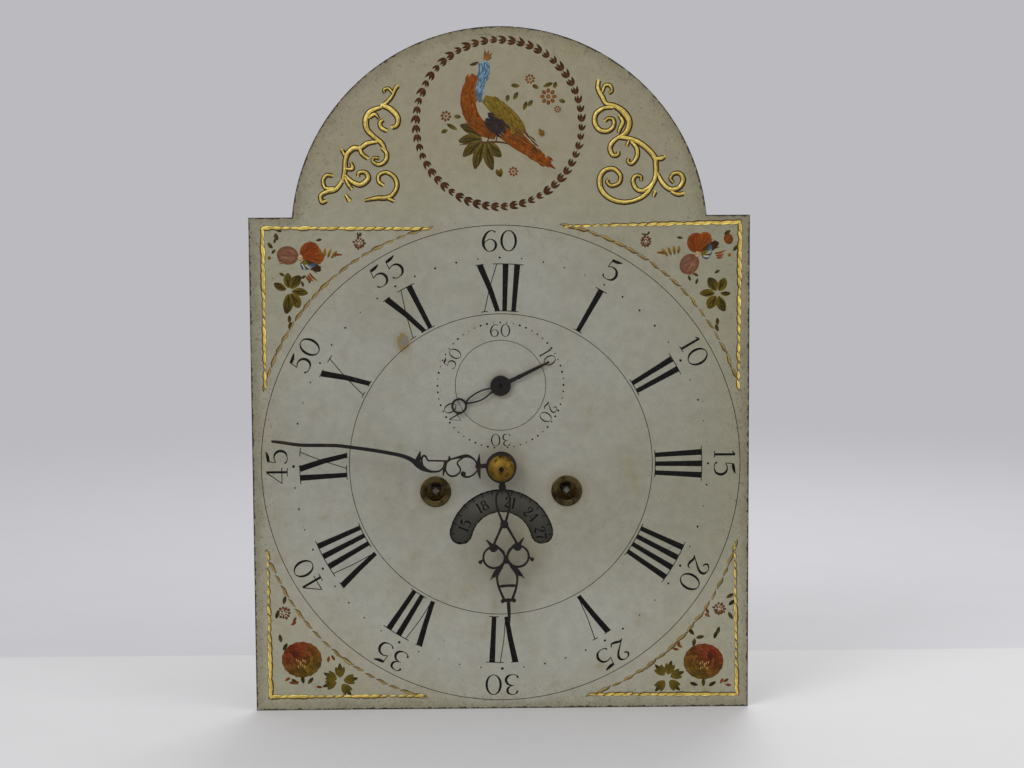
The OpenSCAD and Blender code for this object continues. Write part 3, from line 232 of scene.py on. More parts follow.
class Drawing:
    """Closed strokes and domes gathered in millimetres, with a paint colour at each point."""

    def __init__(self, origin=(0, 0), back=PAINT_BACK, face=DIAL_FACE):
        self.origin, self.back, self.face = origin, back, face
        self.points, self.faces, self.shades = [], [], []
        self.count = 0

    def add(self, x, y, z, shade):
        self.points.append((x + self.origin[0], y, z + self.origin[1]))
        self.shades.append(tuple(shade))

    def layer(self):
        """A hair of height for each stroke, so that no two faces lie in one plane."""
        self.count += 1
        return 0.0012 * (self.count % 23)

    def wrap(self, base, rows, across, closed):
        """Faces between rows of points, each row a closed outline."""
        for i in range(rows if closed else rows - 1):
            j = (i + 1) % rows
            for a in range(across):
                b = (a + 1) % across
                self.faces.append([base + i * across + a, base + j * across + a, base + j * across + b,
                                   base + i * across + b])

    def stroke(self, stations, back, front, section=FLAT, colour=(0, 0, 0), tip=None, closed=False):
        """A stroke through (x, z, width), from y = back to y = front, colour to tip along it."""
        n, k, base = len(stations), len(section), len(self.points)
        front -= self.layer()
        tip = tip or colour
        for i, s in enumerate(stations):
            after = stations[(i + 1) % n if closed else min(i + 1, n - 1)]
            before = stations[i - 1 if closed else max(i - 1, 0)]
            along = Vector((after[0] - before[0], after[1] - before[1]))
            along = along.normalized() if along.length > 1e-6 else Vector((1, 0))
            side = Vector((along.y, -along.x)) * (s[2] / 2)
            shade = blend(colour, tip, i / max(n - 1, 1))
            for across, height in section:
                self.add(s[0] + side.x * across, back + (front - back) * height, s[1] + side.y * across, shade)
        self.wrap(base, n, k, closed)
        if not closed:
            self.faces.append([base + a for a in range(k)])
            self.faces.append([base + (n - 1) * k + a for a in reversed(range(k))])

    def dome(self, centre, back, front, rx, rz=None, turn=0, colour=(0, 0, 0), rim=None, sides=18,
             profile=((1, 0), (0.9, 0.6), (0.6, 0.9))):
        """A low oval button with its rim colour outside and its colour in the middle."""
        rz, rim = rz or rx, rim or colour
        base, rings = len(self.points), len(profile)
        front -= self.layer()
        c, s = math.cos(turn), math.sin(turn)
        for out, height in profile:
            for i in range(sides):
                a = math.tau * i / sides
                u, v = rx * out * math.cos(a), rz * out * math.sin(a)
                self.add(centre[0] + u * c - v * s, back + (front - back) * height,
                         centre[1] + u * s + v * c, blend(colour, rim, out))
        top, last = len(self.points), base + (rings - 1) * sides
        self.add(centre[0], front, centre[1], colour)
        self.wrap(base, rings, sides, False)
        self.faces += [[last + i, last + (i + 1) % sides, top] for i in range(sides)]
        self.faces.append([base + i for i in reversed(range(sides))])

    def lathe(self, centre, profile, sides):
        """A ring turned about Y from a closed outline of (radius, y)."""
        base = len(self.points)
        for i in range(sides):
            a = math.tau * i / sides
            for r, y in profile:
                self.add(centre[0] + r * math.cos(a), y, centre[1] + r * math.sin(a), (0, 0, 0))
        self.wrap(base, sides, len(profile), True)

    def paint(self, points, colour=(0, 0, 0), tip=None, raised=0.06, steps=5, section=ROUND, closed=False):
        """A stroke of paint, along a curve of so many steps or along a plain line."""
        self.stroke(smooth(points, steps) if steps else points, self.back, self.face - raised, section, colour,
                    tip, closed)

    def spot(self, centre, size, colour=(0, 0, 0), rim=None, raised=0.06, flat=1.0, turn=0.0, sides=14):
        """An oval dab of paint."""
        self.dome(centre, self.back, self.face - raised, size, size * flat, turn, colour, rim, sides)

    def leaf(self, foot, bearing, length, width, colour, tip=None, lift=0, bend=0.0):
        """A painted leaf or petal from its foot, at a bearing in degrees from straight up."""
        along, side = polar((0, 0), 1, bearing), polar((0, 0), 1, bearing + 90)
        stations = []
        for i in range(9):
            t = i / 8
            q = Vector(foot) + along * (length * t) + side * (bend * length * math.sin(math.pi * t))
            stations.append((q.x, q.y, max(width * math.sin(math.pi * (0.04 + 0.92 * t)) ** 0.75, 0.1)))
        self.paint(stations, colour, tip, 0.05 + lift, 0)

    def mesh(self, name, crease=CREASE):
        mesh = bpy.data.meshes.new(name)
        mesh.from_pydata([[c * MM for c in p] for p in self.points], [], self.faces)
        paint = mesh.attributes.new("paint", "FLOAT_COLOR", "POINT")
        for i, shade in enumerate(self.shades):
            paint.data[i].color = (*shade[:3], 1)
        shell = bmesh.new()
        shell.from_mesh(mesh)
        bmesh.ops.recalc_face_normals(shell, faces=shell.faces)
        shell.to_mesh(mesh)
        shell.free()
        return smoothed(mesh, crease)

    def place(self, name, material, body="frame", slot="painted_dial", crease=CREASE):
        """Makes the object, gives it its finish, and lets it ride."""
        return settle(self.mesh(name, crease), name, material, body)


def new_object(name, data):
    thing = bpy.data.objects.new(name, data)
    bpy.context.scene.collection.objects.link(thing)
    return thing


def settle(mesh, name, material, body="frame"):
    """A piece with its one finish, riding its body."""
    piece = new_object(name, mesh)
    mesh.materials.clear()
    mesh.materials.append(material)
    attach(piece, body)
    return piece


def polar(centre, radius, bearing):
    """The point at a radius and a clock bearing, in degrees from twelve."""
    a = math.radians(bearing)
    return Vector((centre[0] + radius * math.sin(a), centre[1] + radius * math.cos(a)))


def loose_piece():
    """A drawing of one small stroke that a pattern sets many times."""
    return Drawing(back=0.0, face=0.0)


# Figures, drawn in a box one unit high, as (x, y, width of the pen)
THICK, THIN = 0.095, 0.03


def oval(x, y, rx, ry, thick=THICK):
    return [(x + rx * math.cos(a), y + ry * math.sin(a), THIN + (thick - THIN) * abs(math.cos(a)) ** 1.6)
            for a in (math.tau * i / 20 for i in range(20))]


SIX = [(0.46, 0.9, 0.07), (0.36, 0.98, 0.03), (0.2, 0.9, 0.07), (0.07, 0.6, 0.1), (0.06, 0.3, 0.1),
       (0.16, 0.06, 0.05), (0.28, 0.01, 0.03), (0.42, 0.1, 0.07), (0.48, 0.3, 0.095), (0.42, 0.5, 0.06),
       (0.28, 0.58, 0.03), (0.14, 0.48, 0.035), (0.08, 0.34, 0.03)]
# Each figure: its width, its open strokes and its closed strokes
FIGURES = {
    "0": (0.6, [], [oval(0.3, 0.5, 0.24, 0.48)]),
    "1": (0.4, [[(0.2, 1, 0.09), (0.2, 0, 0.095)], [(0.06, 0.015, 0.03), (0.34, 0.015, 0.03)],
                [(0.06, 0.86, 0.03), (0.18, 0.97, 0.06)]], []),
    "2": (0.58, [[(0.24, 0.68, 0.035), (0.17, 0.7, 0.06), (0.12, 0.8, 0.075), (0.17, 0.92, 0.05),
                  (0.3, 0.985, 0.03), (0.44, 0.9, 0.085), (0.47, 0.74, 0.1), (0.4, 0.54, 0.08),
                  (0.24, 0.3, 0.045), (0.06, 0.04, 0.03)],
                 [(0.06, 0.04, 0.03), (0.17, 0.11, 0.08), (0.32, 0.05, 0.1), (0.46, 0.03, 0.06),
                  (0.53, 0.17, 0.03)]], []),
    "3": (0.56, [[(0.08, 0.8, 0.09), (0.14, 0.94, 0.04), (0.26, 0.985, 0.03), (0.41, 0.9, 0.085),
                  (0.42, 0.7, 0.085), (0.3, 0.56, 0.03), (0.2, 0.545, 0.03)],
                 [(0.24, 0.55, 0.03), (0.4, 0.49, 0.075), (0.48, 0.3, 0.1), (0.42, 0.1, 0.085),
                  (0.26, 0.015, 0.03), (0.12, 0.06, 0.04), (0.07, 0.18, 0.09)]], []),
    "4": (0.62, [[(0.4, 0.98, 0.04), (0.04, 0.28, 0.03)], [(0.03, 0.27, 0.035), (0.58, 0.27, 0.035)],
                 [(0.42, 1, 0.085), (0.42, 0, 0.095)], [(0.28, 0.015, 0.03), (0.56, 0.015, 0.03)]], []),
    "5": (0.56, [[(0.11, 0.9, 0.1), (0.28, 0.93, 0.12), (0.45, 1.0, 0.04)],
                 [(0.12, 0.93, 0.035), (0.09, 0.55, 0.03)],
                 [(0.09, 0.55, 0.03), (0.24, 0.63, 0.045), (0.4, 0.56, 0.085), (0.48, 0.34, 0.105),
                  (0.42, 0.1, 0.08), (0.26, 0.01, 0.03), (0.12, 0.04, 0.04), (0.06, 0.14, 0.07)]], []),
    "6": (0.56, [SIX], []),
    "7": (0.54, [[(0.05, 0.84, 0.03), (0.08, 0.96, 0.07), (0.26, 0.92, 0.1), (0.5, 0.98, 0.04)],
                 [(0.5, 0.98, 0.03), (0.34, 0.6, 0.07), (0.24, 0.25, 0.1), (0.23, 0.02, 0.1)]], []),
    "8": (0.56, [], [oval(0.28, 0.75, 0.16, 0.23, 0.08), oval(0.28, 0.27, 0.21, 0.255, 0.1)]),
    "9": (0.56, [[(0.54 - x, 0.99 - y, w) for x, y, w in SIX]], []),
}


# The gap between two figures, and how much of the widening a one takes
FIGURE_GAP, ONE_WIDER = 0.06, 0.3


def write_figures(drawing, number, centre, foot, height, bearing, raised, pen, wide):
    """A number with its feet towards the centre, foot millimetres from it."""
    text = str(number)
    wider = {c: 1 + (wide - 1) * (ONE_WIDER if c == "1" else 1) for c in text}
    width = sum(FIGURES[c][0] * wider[c] for c in text) * height + FIGURE_GAP * height * (len(text) - 1)
    up, right = polar((0, 0), 1, bearing), polar((0, 0), 1, bearing + 90)
    start = -width / 2
    for c in text:
        advance, open_strokes, rings = FIGURES[c]
        for points, closed in [(p, False) for p in open_strokes] + [(p, True) for p in rings]:
            line = points if closed or len(points) == 2 else smooth(points, 5)
            stations = []
            for x, y, w in line:
                q = Vector(centre) + right * (start + x * wider[c] * height) + up * (foot + y * height)
                stations.append((q.x, q.y, w * height * pen))
            drawing.paint(stations, raised=raised, steps=0, section=FLAT, closed=closed)
        start += (advance * wider[c] + FIGURE_GAP) * height


# Finishes


class Nodes:
    """Adds nodes to a tree. An input takes a plain value or the output of another node."""

    def __init__(self, tree):
        self.tree = tree

    def put(self, target, value):
        if isinstance(value, bpy.types.NodeSocket):
            self.tree.links.new(value, target)
        elif target.type == "RGBA":
            target.default_value = (*tuple(value)[:3], 1)
        else:
            target.default_value = value

    def add(self, kind, inputs=(), **settings):
        node = self.tree.nodes.new(kind)
        for key, value in settings.items():
            setattr(node, key, value)
        for key, value in dict(inputs).items():
            self.put(node.inputs[key], value)
        return node

    def math(self, operation, *values):
        return self.add("ShaderNodeMath", enumerate(values), operation=operation).outputs[0]

    def shown_to_camera(self, shown, unseen, seen):
        """One shader where seen is 1, and the other one elsewhere."""
        return self.add("ShaderNodeMixShader", {0: seen, 1: unseen.outputs[0], 2: shown.outputs[0]}).outputs[0]


class Finish(Nodes):
    """A material whose nodes are added from left to right."""

    def __init__(self, name, metallic=0.0, roughness=0.5, specular=0.5):
        self.material = bpy.data.materials.new(name)
        self.material.use_nodes = True
        super().__init__(self.material.node_tree)
        self.tree.nodes.clear()
        self.shader = self.add("ShaderNodeBsdfPrincipled", {
            "Metallic": metallic, "Roughness": roughness, "Specular IOR Level": specular})
        self.end = self.add("ShaderNodeOutputMaterial", {"Surface": self.shader.outputs[0]})

    def vector(self, operation, *values):
        return self.add("ShaderNodeVectorMath", enumerate(values), operation=operation).outputs[0]

    def place(self, stretch=(1, 1, 1)):
        """Object coordinates in millimetres, each axis times its stretch."""
        return self.vector("MULTIPLY", self.add("ShaderNodeTexCoord").outputs["Object"],
                           [part / MM for part in stretch])

    def split(self, where):
        return self.add("ShaderNodeSeparateXYZ", {0: where}).outputs

    def fade(self, value, start, end, low=0.0, high=1.0):
        """low where value is at start, high where it is at end, and soft between them."""
        return self.add("ShaderNodeMapRange", {
            "Value": value, "From Min": start, "From Max": end, "To Min": low, "To Max": high},
            interpolation_type="SMOOTHSTEP").outputs[0]

    def noise(self, where, scale, detail=3, rough=0.55, distortion=0.0):
        return self.add("ShaderNodeTexNoise", {"Vector": where, "Scale": scale, "Detail": detail,
                                               "Roughness": rough, "Distortion": distortion}).outputs[0]

    def mix(self, share, a, b):
        return self.add("ShaderNodeMix", {0: share, 6: a, 7: b}, data_type="RGBA", clamp_factor=True).outputs[2]

    def over(self, tone, colour, share, *factors):
        """A colour laid over a tone as much as share, times each further factor."""
        for factor in factors:
            share = self.math("MULTIPLY", share, factor)
        return self.mix(share, tone, colour)

    def shade(self, colour, amount):
        """The colour made lighter or darker by a factor."""
        return self.add("ShaderNodeVectorMath", {0: colour, "Scale": amount}, operation="SCALE").outputs[0]

    def finish(self, colour, height, distance, strength, roughness=None):
        """Sets the colour, the fine relief and, where it varies, the roughness; gives the material."""
        self.put(self.shader.inputs["Base Color"], colour)
        if roughness is not None:
            self.put(self.shader.inputs["Roughness"], roughness)
        relief = self.add("ShaderNodeBump", {"Strength": strength, "Distance": distance * MM, "Height": height})
        self.put(self.shader.inputs["Normal"], relief.outputs[0])
        return self.material

    def distance_to(self, where, point, stretch=(1, 0, 1)):
        """How far a place of the dial is from a point, in millimetres."""
        away = self.vector("MULTIPLY", self.vector("SUBTRACT", where, (point[0], 0, point[1])), stretch)
        return self.add("ShaderNodeVectorMath", {0: away}, operation="LENGTH").outputs["Value"]


def dress(node, material):
    """Gives a sub-part of the frame its finish."""
    for old in NODES[node].material_slots:
        old.material = material


# Painted shade on the arbors' front ends, which stand in the dial's holes, and the paler front faces of the
# winding squares
ARBOR_PAINTED_SHADE, PALE_SQUARE_TIP = srgb(40, 33, 26), srgb(106, 102, 96)


def metal(name, colour, dark, roughness=0.32, patch=0.05, amount=0.6, grain=(1, 1, 1), centre=None,
          metallic=1.0, rust=None, end=None, tip=None):
    """Aged metal: tarnish in patches, and fine lines from filing or, round a centre, from turning.

    end is the y where an arbor ends, near which painted shade darkens it as in the dial's hole, and tip the place
    of its square, given a paler front face.
    """
    f = Finish(name, metallic)
    where = f.place()
    patches = f.fade(f.noise(where, patch, 4, 0.6), 0.42, 0.72, 0, amount)
    spots = f.fade(f.noise(where, patch * 9, 3, 0.6), 0.6, 0.75, 0, amount * 0.5)
    tone = f.mix(f.math("MAXIMUM", patches, spots), colour, dark)
    if centre is not None:
        radius = f.add("ShaderNodeCombineXYZ", {0: f.distance_to(where, centre)})
        lines = f.noise(radius.outputs[0], 2.4, 3, 0.7)
    else:
        lines = f.noise(f.place(grain), 1.6, 3, 0.7)
    tone = f.shade(tone, f.fade(lines, 0.3, 0.7, 0.9, 1.07))
    if rust is not None:
        tone = f.over(tone, rust, f.fade(f.noise(where, 0.11, 4, 0.65), 0.52, 0.66))
    if end is not None:
        x, y, z = f.split(where)
        # Painted shade: the arbor is darkest near its front end, where it stands in the dial's hole
        tone = f.over(tone, ARBOR_PAINTED_SHADE, f.fade(y, end + 14, end + 5))
        if tip is not None:
            # A paler patch on the front face of the winding square
            aside, upright = (f.math("ABSOLUTE", f.math("SUBTRACT", part, v)) for part, v in zip((x, z), tip))
            tone = f.over(tone, PALE_SQUARE_TIP, f.fade(f.math("ADD", aside, upright), 2.6, 1.7),
                          f.fade(y, end + 0.6, end + 0.2), f.fade(f.noise(where, 0.9, 3), 0.35, 0.6, 0.4, 1))
    rough = f.math("ADD", f.fade(lines, 0.3, 0.7, -0.05, 0.06),
                   f.fade(patches, 0, 0.6, roughness, roughness + 0.22))
    return f.finish(tone, lines, 0.03, 0.35, rough)


def worn_black(name, settings, wear):
    """Black paint, thin and rubbed: wear is how much of it the ground shows through."""
    f = Finish(name, 0, 0.6, 0.1)
    where = f.place()
    rubbed = f.fade(f.noise(where, 0.5, 4, 0.7), 0.52, 0.68, 0, wear)
    scuffs = f.fade(f.noise(where, 0.05, 2, 0.6), 0.35, 0.75, 0.2, 1)
    tone = f.over(settings.figures, settings.ground, rubbed, scuffs)
    return f.finish(tone, f.noise(where, 1.5, 2), 0.02, 0.3)


def stroke_colour(f, streaks, high_at, low, high, variety):
    """The paint of each stroke, uneven along streaks and, where strokes repeat, from one to the next."""
    paint = f.add("ShaderNodeAttribute", attribute_name="paint").outputs["Color"]
    tone = f.add("ShaderNodeAttribute", attribute_name="tone").outputs["Fac"]
    lively = f.math("ADD", f.fade(streaks, 0.3, high_at, low, high), f.math("MULTIPLY", tone, variety))
    return f.shade(paint, lively)


def brushed_paint(name, settings, gloss=0.6, cover=0.99, low=0.72, high=1.2):
    """Coloured paint laid by hand: streaks within each stroke, and the ground showing a little."""
    f = Finish(name, 0, gloss, 0.05)
    where = f.place()
    streaks = f.noise(where, 0.55, 4, 0.7, 1.2)
    thin = f.fade(f.noise(where, 0.3, 4, 0.65), 0.45, 0.7, 1 - cover, 4 - 4 * cover)
    tone = f.over(stroke_colour(f, streaks, 0.7, low, high, 0.14), settings.margin, thin)
    return f.finish(tone, streaks, 0.05, 0.5)


def gilding(name, low=0.74, high=1.24):
    """Gold paint, bright on the tops of the strokes and rubbed to brown."""
    f = Finish(name, 0.25, 0.4)
    where = f.place()
    blotch = f.noise(where, 0.42, 4, 0.72, 0.8)
    rubbed = f.fade(f.noise(where, 0.9, 3, 0.7), 0.6, 0.7, 0, 0.6)
    tone = f.over(stroke_colour(f, blotch, 0.68, low, high, 0.2), srgb(110, 80, 30), rubbed)
    return f.finish(tone, blotch, 0.12, 0.6)


# Repeated strokes


class Pattern(Nodes):
    """A tree that sets one small piece many times: its inputs, and the nodes every pattern shares."""

    def __init__(self, name, *numbers):
        super().__init__(bpy.data.node_groups.new(name, "GeometryNodeTree"))
        face = self.tree.interface
        face.new_socket("Geometry", in_out="OUTPUT", socket_type="NodeSocketGeometry")
        for key, kind in (("Geometry", "Geometry"), ("Piece", "Object"), *numbers, ("Unevenness", "Float"),
                          ("Size spread", "Float"), ("Seed", "Int"), ("Material", "Material")):
            face.new_socket(key, in_out="INPUT", socket_type="NodeSocket" + kind)
        self.given = self.add("NodeGroupInput").outputs

    def chance(self, low, high, seed):
        """A random number with its own seed beside the tree's."""
        return self.add("FunctionNodeRandomValue", {
            2: low, 3: high, "Seed": self.math("ADD", self.given["Seed"], seed)}, data_type="FLOAT").outputs[1]

    def either_way(self, key, seed):
        """A random number up to a given one, to either side."""
        return self.chance(self.math("MULTIPLY", self.given[key], -1), self.given[key], seed)

    def turned(self, angle):
        """A rotation about Y."""
        about = self.add("ShaderNodeCombineXYZ", {1: angle})
        return self.add("FunctionNodeEulerToRotation", {0: about.outputs[0]}).outputs[0]

    def leaned(self, rotation, angle):
        return self.add("FunctionNodeRotateRotation", {0: rotation, 1: self.turned(angle)},
                        rotation_space="LOCAL").outputs[0]

    def set_out(self, points, rotation, size):
        """Instances with a random turn, size, depth and tone; then real, with their material."""
        depth = self.add("ShaderNodeCombineXYZ", {1: self.chance(-0.02 * MM, 0.0, 3)})
        lift = self.add("GeometryNodeSetPosition", {"Geometry": points, "Offset": depth.outputs[0]})
        source = self.add("GeometryNodeObjectInfo", {"Object": self.given["Piece"]}, transform_space="ORIGINAL")
        put = self.add("GeometryNodeInstanceOnPoints", {
            "Points": lift.outputs[0], "Instance": source.outputs["Geometry"],
            "Rotation": self.leaned(rotation, self.either_way("Unevenness", 5)),
            "Scale": self.math("MULTIPLY_ADD", self.either_way("Size spread", 7), size, size)})
        tone = self.add("GeometryNodeStoreNamedAttribute", data_type="FLOAT", domain="INSTANCE", inputs={
            "Geometry": put.outputs[0], "Name": "tone", "Value": self.chance(-1.0, 1.0, 11)})
        real = self.add("GeometryNodeRealizeInstances", {0: tone.outputs[0]})
        paint = self.add("GeometryNodeSetMaterial", {
            "Geometry": real.outputs[0], "Material": self.given["Material"]})
        self.add("NodeGroupOutput", {0: paint.outputs[0]})
        return self.tree


def path_tree():
    """Strokes along a drawn line, their X axis along it, from a first size to a last one."""
    p = Pattern("Strokes along a line", ("Spacing", "Float"), ("Turn", "Float"), ("First size", "Float"),
                ("Last size", "Float"))
    curve = p.add("GeometryNodeMeshToCurve", {"Mesh": p.given["Geometry"]})
    points = p.add("GeometryNodeCurveToPoints", {"Curve": curve.outputs[0], "Length": p.given["Spacing"]},
                   mode="LENGTH")
    aim = p.add("FunctionNodeAlignRotationToVector", {"Vector": points.outputs["Tangent"]}, axis="X",
                pivot_axis="Y")
    count = p.add("GeometryNodeAttributeDomainSize", {0: points.outputs["Points"]}, component="POINTCLOUD")
    size = p.add("ShaderNodeMapRange", {
        "Value": p.add("GeometryNodeInputIndex").outputs[0], "From Max": count.outputs["Point Count"],
        "To Min": p.given["First size"], "To Max": p.given["Last size"]})
    return p.set_out(points.outputs["Points"], p.leaned(aim.outputs[0], p.given["Turn"]), size.outputs[0])


def ring_tree():
    """Marks round a ring in the plane of the dial, their Z axis outwards, the first at twelve."""
    p = Pattern("Marks round a ring", ("Count", "Int"), ("Radius", "Float"), ("Centre", "Vector"))
    ring = p.add("GeometryNodeMeshCircle", {"Vertices": p.given["Count"], "Radius": p.given["Radius"]})
    stand = p.add("GeometryNodeTransform", {
        "Geometry": ring.outputs[0], "Rotation": (math.pi / 2, -math.pi / 2, 0),
        "Translation": p.given["Centre"]})
    angle = p.math("MULTIPLY", p.add("GeometryNodeInputIndex").outputs[0],
                   p.math("DIVIDE", -math.tau, p.given["Count"]))
    return p.set_out(stand.outputs[0], p.turned(angle), 1)


def repeated(tree, piece, values, line=None):
    """The plain mesh a tree makes of a drawn piece, along a line of (x, z) where it has one."""
    mesh = bpy.data.meshes.new("line")
    if line:
        points = [((x + CENTRE.x) * MM, PAINT_BACK * MM, (z + CENTRE.y) * MM) for x, z in line]
        mesh.from_pydata(points, [(i, i + 1) for i in range(len(points) - 1)], [])
    host, source = new_object("line", mesh), new_object("stroke", piece.mesh("stroke"))
    modifier = host.modifiers.new("strokes", "NODES")
    modifier.node_group = tree
    values = dict(values, Piece=source)
    for item in tree.interface.items_tree:
        if item.in_out == "INPUT" and item.name in values:
            modifier[item.identifier] = values[item.name]
    evaluated = host.evaluated_get(bpy.context.evaluated_depsgraph_get())
    result = bpy.data.meshes.new_from_object(evaluated)
    host.modifiers.clear()
    for thing in (host, source):
        spare = thing.data
        bpy.data.objects.remove(thing)
        bpy.data.meshes.remove(spare)
    return smoothed(result, CREASE)


def joined(meshes, name):
    """Several plain meshes as one, with their paint and tone."""
    shell = bmesh.new()
    for mesh in meshes:
        shell.from_mesh(mesh)
    result = bpy.data.meshes.new(name)
    shell.to_mesh(result)
    shell.free()
    for mesh in meshes:
        bpy.data.meshes.remove(mesh)
    return result


# Lists of strokes, in millimetres from the middle of the chapter ring

BROWN, DARK, OLIVE, ORANGE = srgb(94, 50, 20), srgb(42, 32, 12), srgb(74, 60, 14), srgb(122, 58, 12)
SLATE, STRAW, LEAF = srgb(50, 66, 84), srgb(134, 104, 34), srgb(94, 80, 20)

LEFT_SCROLLS = (
    [(-71.2, 218.7, 1.5), (-77.3, 216.4, 2.6), (-80.3, 211.8, 3.1), (-79.9, 205.6, 2.6), (-75.7, 201, 2.3),
     (-71.2, 197.1, 2.3), (-69.3, 193.3, 1.7)],
    [(-70.4, 219.9, 2.3), (-65.1, 217.2, 2.8), (-61.3, 212.5, 2.6), (-61.7, 207.9, 2.1), (-64.7, 206.4, 1.8)],
    [(-71.2, 219.1, 1.2), (-66.6, 222.6, 1.7), (-64, 226, 1.4), (-62.5, 229.5, 1.7), (-61, 231.4, 1.7)],
    [(-64, 227.2, 0.9), (-66.6, 229.9, 1.2), (-69.3, 229.1, 1.1), (-68.9, 227.2, 0.8)],
    [(-67.8, 204.5, 1.7), (-71.2, 206.4, 2), (-71.9, 209.5, 1.8), (-69.7, 211, 1.1)],
    [(-78.4, 212.5, 1.5), (-75, 214.5, 1.8), (-72.7, 211.8, 0.6)],
    [(-74.2, 197.9, 1.5), (-79.5, 197.1, 2.3), (-84.1, 194.1, 2.3), (-87.9, 194.1, 2.8), (-91.7, 191, 2.6),
     (-93.2, 186.4, 2.3), (-93.5, 181, 2.3), (-94.7, 175.6, 1.7)],
    [(-84.1, 194.8, 1.5), (-83.3, 191, 1.8), (-79.5, 187.9, 1.7)],
    [(-71.2, 194.1, 1.1), (-68.2, 191, 1.8), (-68.9, 186.4, 2), (-72.7, 184.1, 1.7), (-76.5, 186, 1.4),
     (-75.7, 188.3, 1.2), (-72.7, 187.9, 1.1)],
    [(-93.5, 189.8, 1.2), (-95.1, 193.3, 1.7)],
    [(-93.5, 181.8, 0.9), (-89, 181.8, 2), (-89.8, 185.6, 0.8)],
    [(-93.2, 177.9, 1.2), (-89.4, 174, 2), (-84.1, 172.1, 2.6), (-79.5, 175.6, 2.6), (-81, 179.4, 2),
     (-84.8, 179.4, 1.7), (-85.6, 177.1, 1.4)],
    [(-93.5, 176.4, 1.1), (-91.7, 172.5, 1.5), (-89.4, 169.4, 1.5)],
    [(-95.4, 174, 1.8), (-99.2, 169.4, 2.3), (-104.5, 167.9, 2.3), (-108.3, 165.6, 2), (-107.6, 161.7, 2),
     (-104.9, 162.5, 1.4)],
    [(-100, 170.2, 1.1), (-105.3, 170.2, 1.5), (-106.8, 174.8, 1.7), (-104.5, 177.9, 1.7),
     (-100.8, 177.5, 1.4)],
    [(-93.2, 166, 0.9), (-91, 162.5, 2.1)],
    [(-70.4, 171.7, 1.4), (-73.1, 174, 1.7), (-72.7, 177.9, 1.7), (-68.2, 179.4, 1.7), (-63.6, 176.4, 2),
     (-62.1, 171, 2), (-65.1, 165.6, 2.1), (-69.7, 164, 2.3), (-74.2, 164, 2), (-81.8, 162.5, 0.9)],
    [(-67.4, 163.7, 1.5), (-64, 162.1, 1.4)],
)
RIGHT_SCROLLS = (
    [(60.3, 233.9, 1.7), (59.9, 229.3, 2), (62.6, 223.9, 2.3), (64.9, 220.1, 2), (70.3, 218.5, 2.6),
     (75.7, 214.6, 3.4), (78.8, 209.2, 3.1), (77.3, 203.1, 2.8), (72.6, 199.6, 2)],
    [(62.6, 227, 1.1), (64.1, 230.9, 1.5), (67.2, 230.9, 1.5), (68.4, 227.8, 1.2), (66.5, 226.2, 0.9)],
    [(68.8, 217.7, 1.5), (63.4, 217.4, 1.8), (58.7, 213.9, 2.3), (58, 208.5, 2.3), (61, 204.2, 2.3),
     (65.7, 203.5, 2.1), (69.2, 206.2, 2), (69.2, 210.4, 1.7), (66.1, 211.2, 1.4), (64.1, 209.6, 1.4)],
    [(72.6, 213.1, 0.9), (74.9, 209.2, 2), (73.4, 205.4, 1.8), (72.2, 202.3, 1.1)],
    [(72.6, 200, 1.5), (68.8, 196.9, 2.3), (67.2, 193, 2.3), (68.8, 189.2, 2.1), (71.9, 189.2, 1.7),
     (72.2, 191.5, 1.1)],
    [(72.6, 199.6, 1.8), (78, 199.2, 2.3), (84.2, 196.9, 2.6), (89.6, 193, 2.6), (94.2, 187.6, 2.6),
     (95, 182.2, 2.4), (95, 178.4, 2.3)],
    [(94.2, 186.9, 1.5), (98.1, 186.9, 2.3), (100.4, 188, 1.4)],
    [(80.3, 196.9, 1.5), (83.4, 193, 2.1), (83.4, 187.6, 2.1), (80.3, 183.8, 1.8), (78, 185.3, 1.4),
     (78.8, 187.2, 0.9)],
    [(78.8, 198.1, 0.9), (77.3, 194.6, 1.4)],
    [(95, 178.4, 2.1), (93.5, 172.2, 2.3), (88.1, 167.6, 2.3), (83.4, 168.3, 2), (81.1, 173, 2),
     (82.7, 176.4, 1.7), (85.8, 176, 1.4), (86.1, 173.3, 0.9)],
    [(94.6, 174.5, 2), (89.6, 166, 2.1), (82.7, 161.8, 2), (74.9, 160.6, 2.1), (67.2, 162.9, 2.3),
     (61.8, 168.3, 2.6), (61, 175.3, 2.6), (64.1, 179.9, 2.3), (69.5, 180.7, 2.1), (73.4, 176.8, 2),
     (72.6, 172.2, 1.8), (68, 170.6, 1.7), (65.3, 173, 1.4), (66.5, 174.5, 0.9)],
    [(96.2, 177.6, 1.5), (98.9, 172.2, 2.3), (103.5, 168.3, 2.4), (108.9, 169.1, 2.3), (111.6, 173.7, 2.3),
     (109.7, 177.6, 2), (105.8, 177.6, 1.7), (103.9, 174.5, 1.5), (105.8, 172.2, 1.1)],
    [(104.3, 166.8, 1.1), (108.1, 165.2, 2), (112, 165.6, 1.8)],
    [(93.5, 163.7, 0.9), (94.6, 166.8, 1.7)],
)

# Corners: the elbow and the two ends of the straight borders
CORNERS = (
    ((-144, 146), (-44.7, 145), (-144, 50.4)),
    ((146.4, 148), (41.6, 146.2), (145.6, 48.3)),
    ((-143.5, -144), (-51.2, -144.2), (-143.9, -54.8)),
    ((145.7, -144.8), (55.6, -144), (144.1, -51.7)),
)

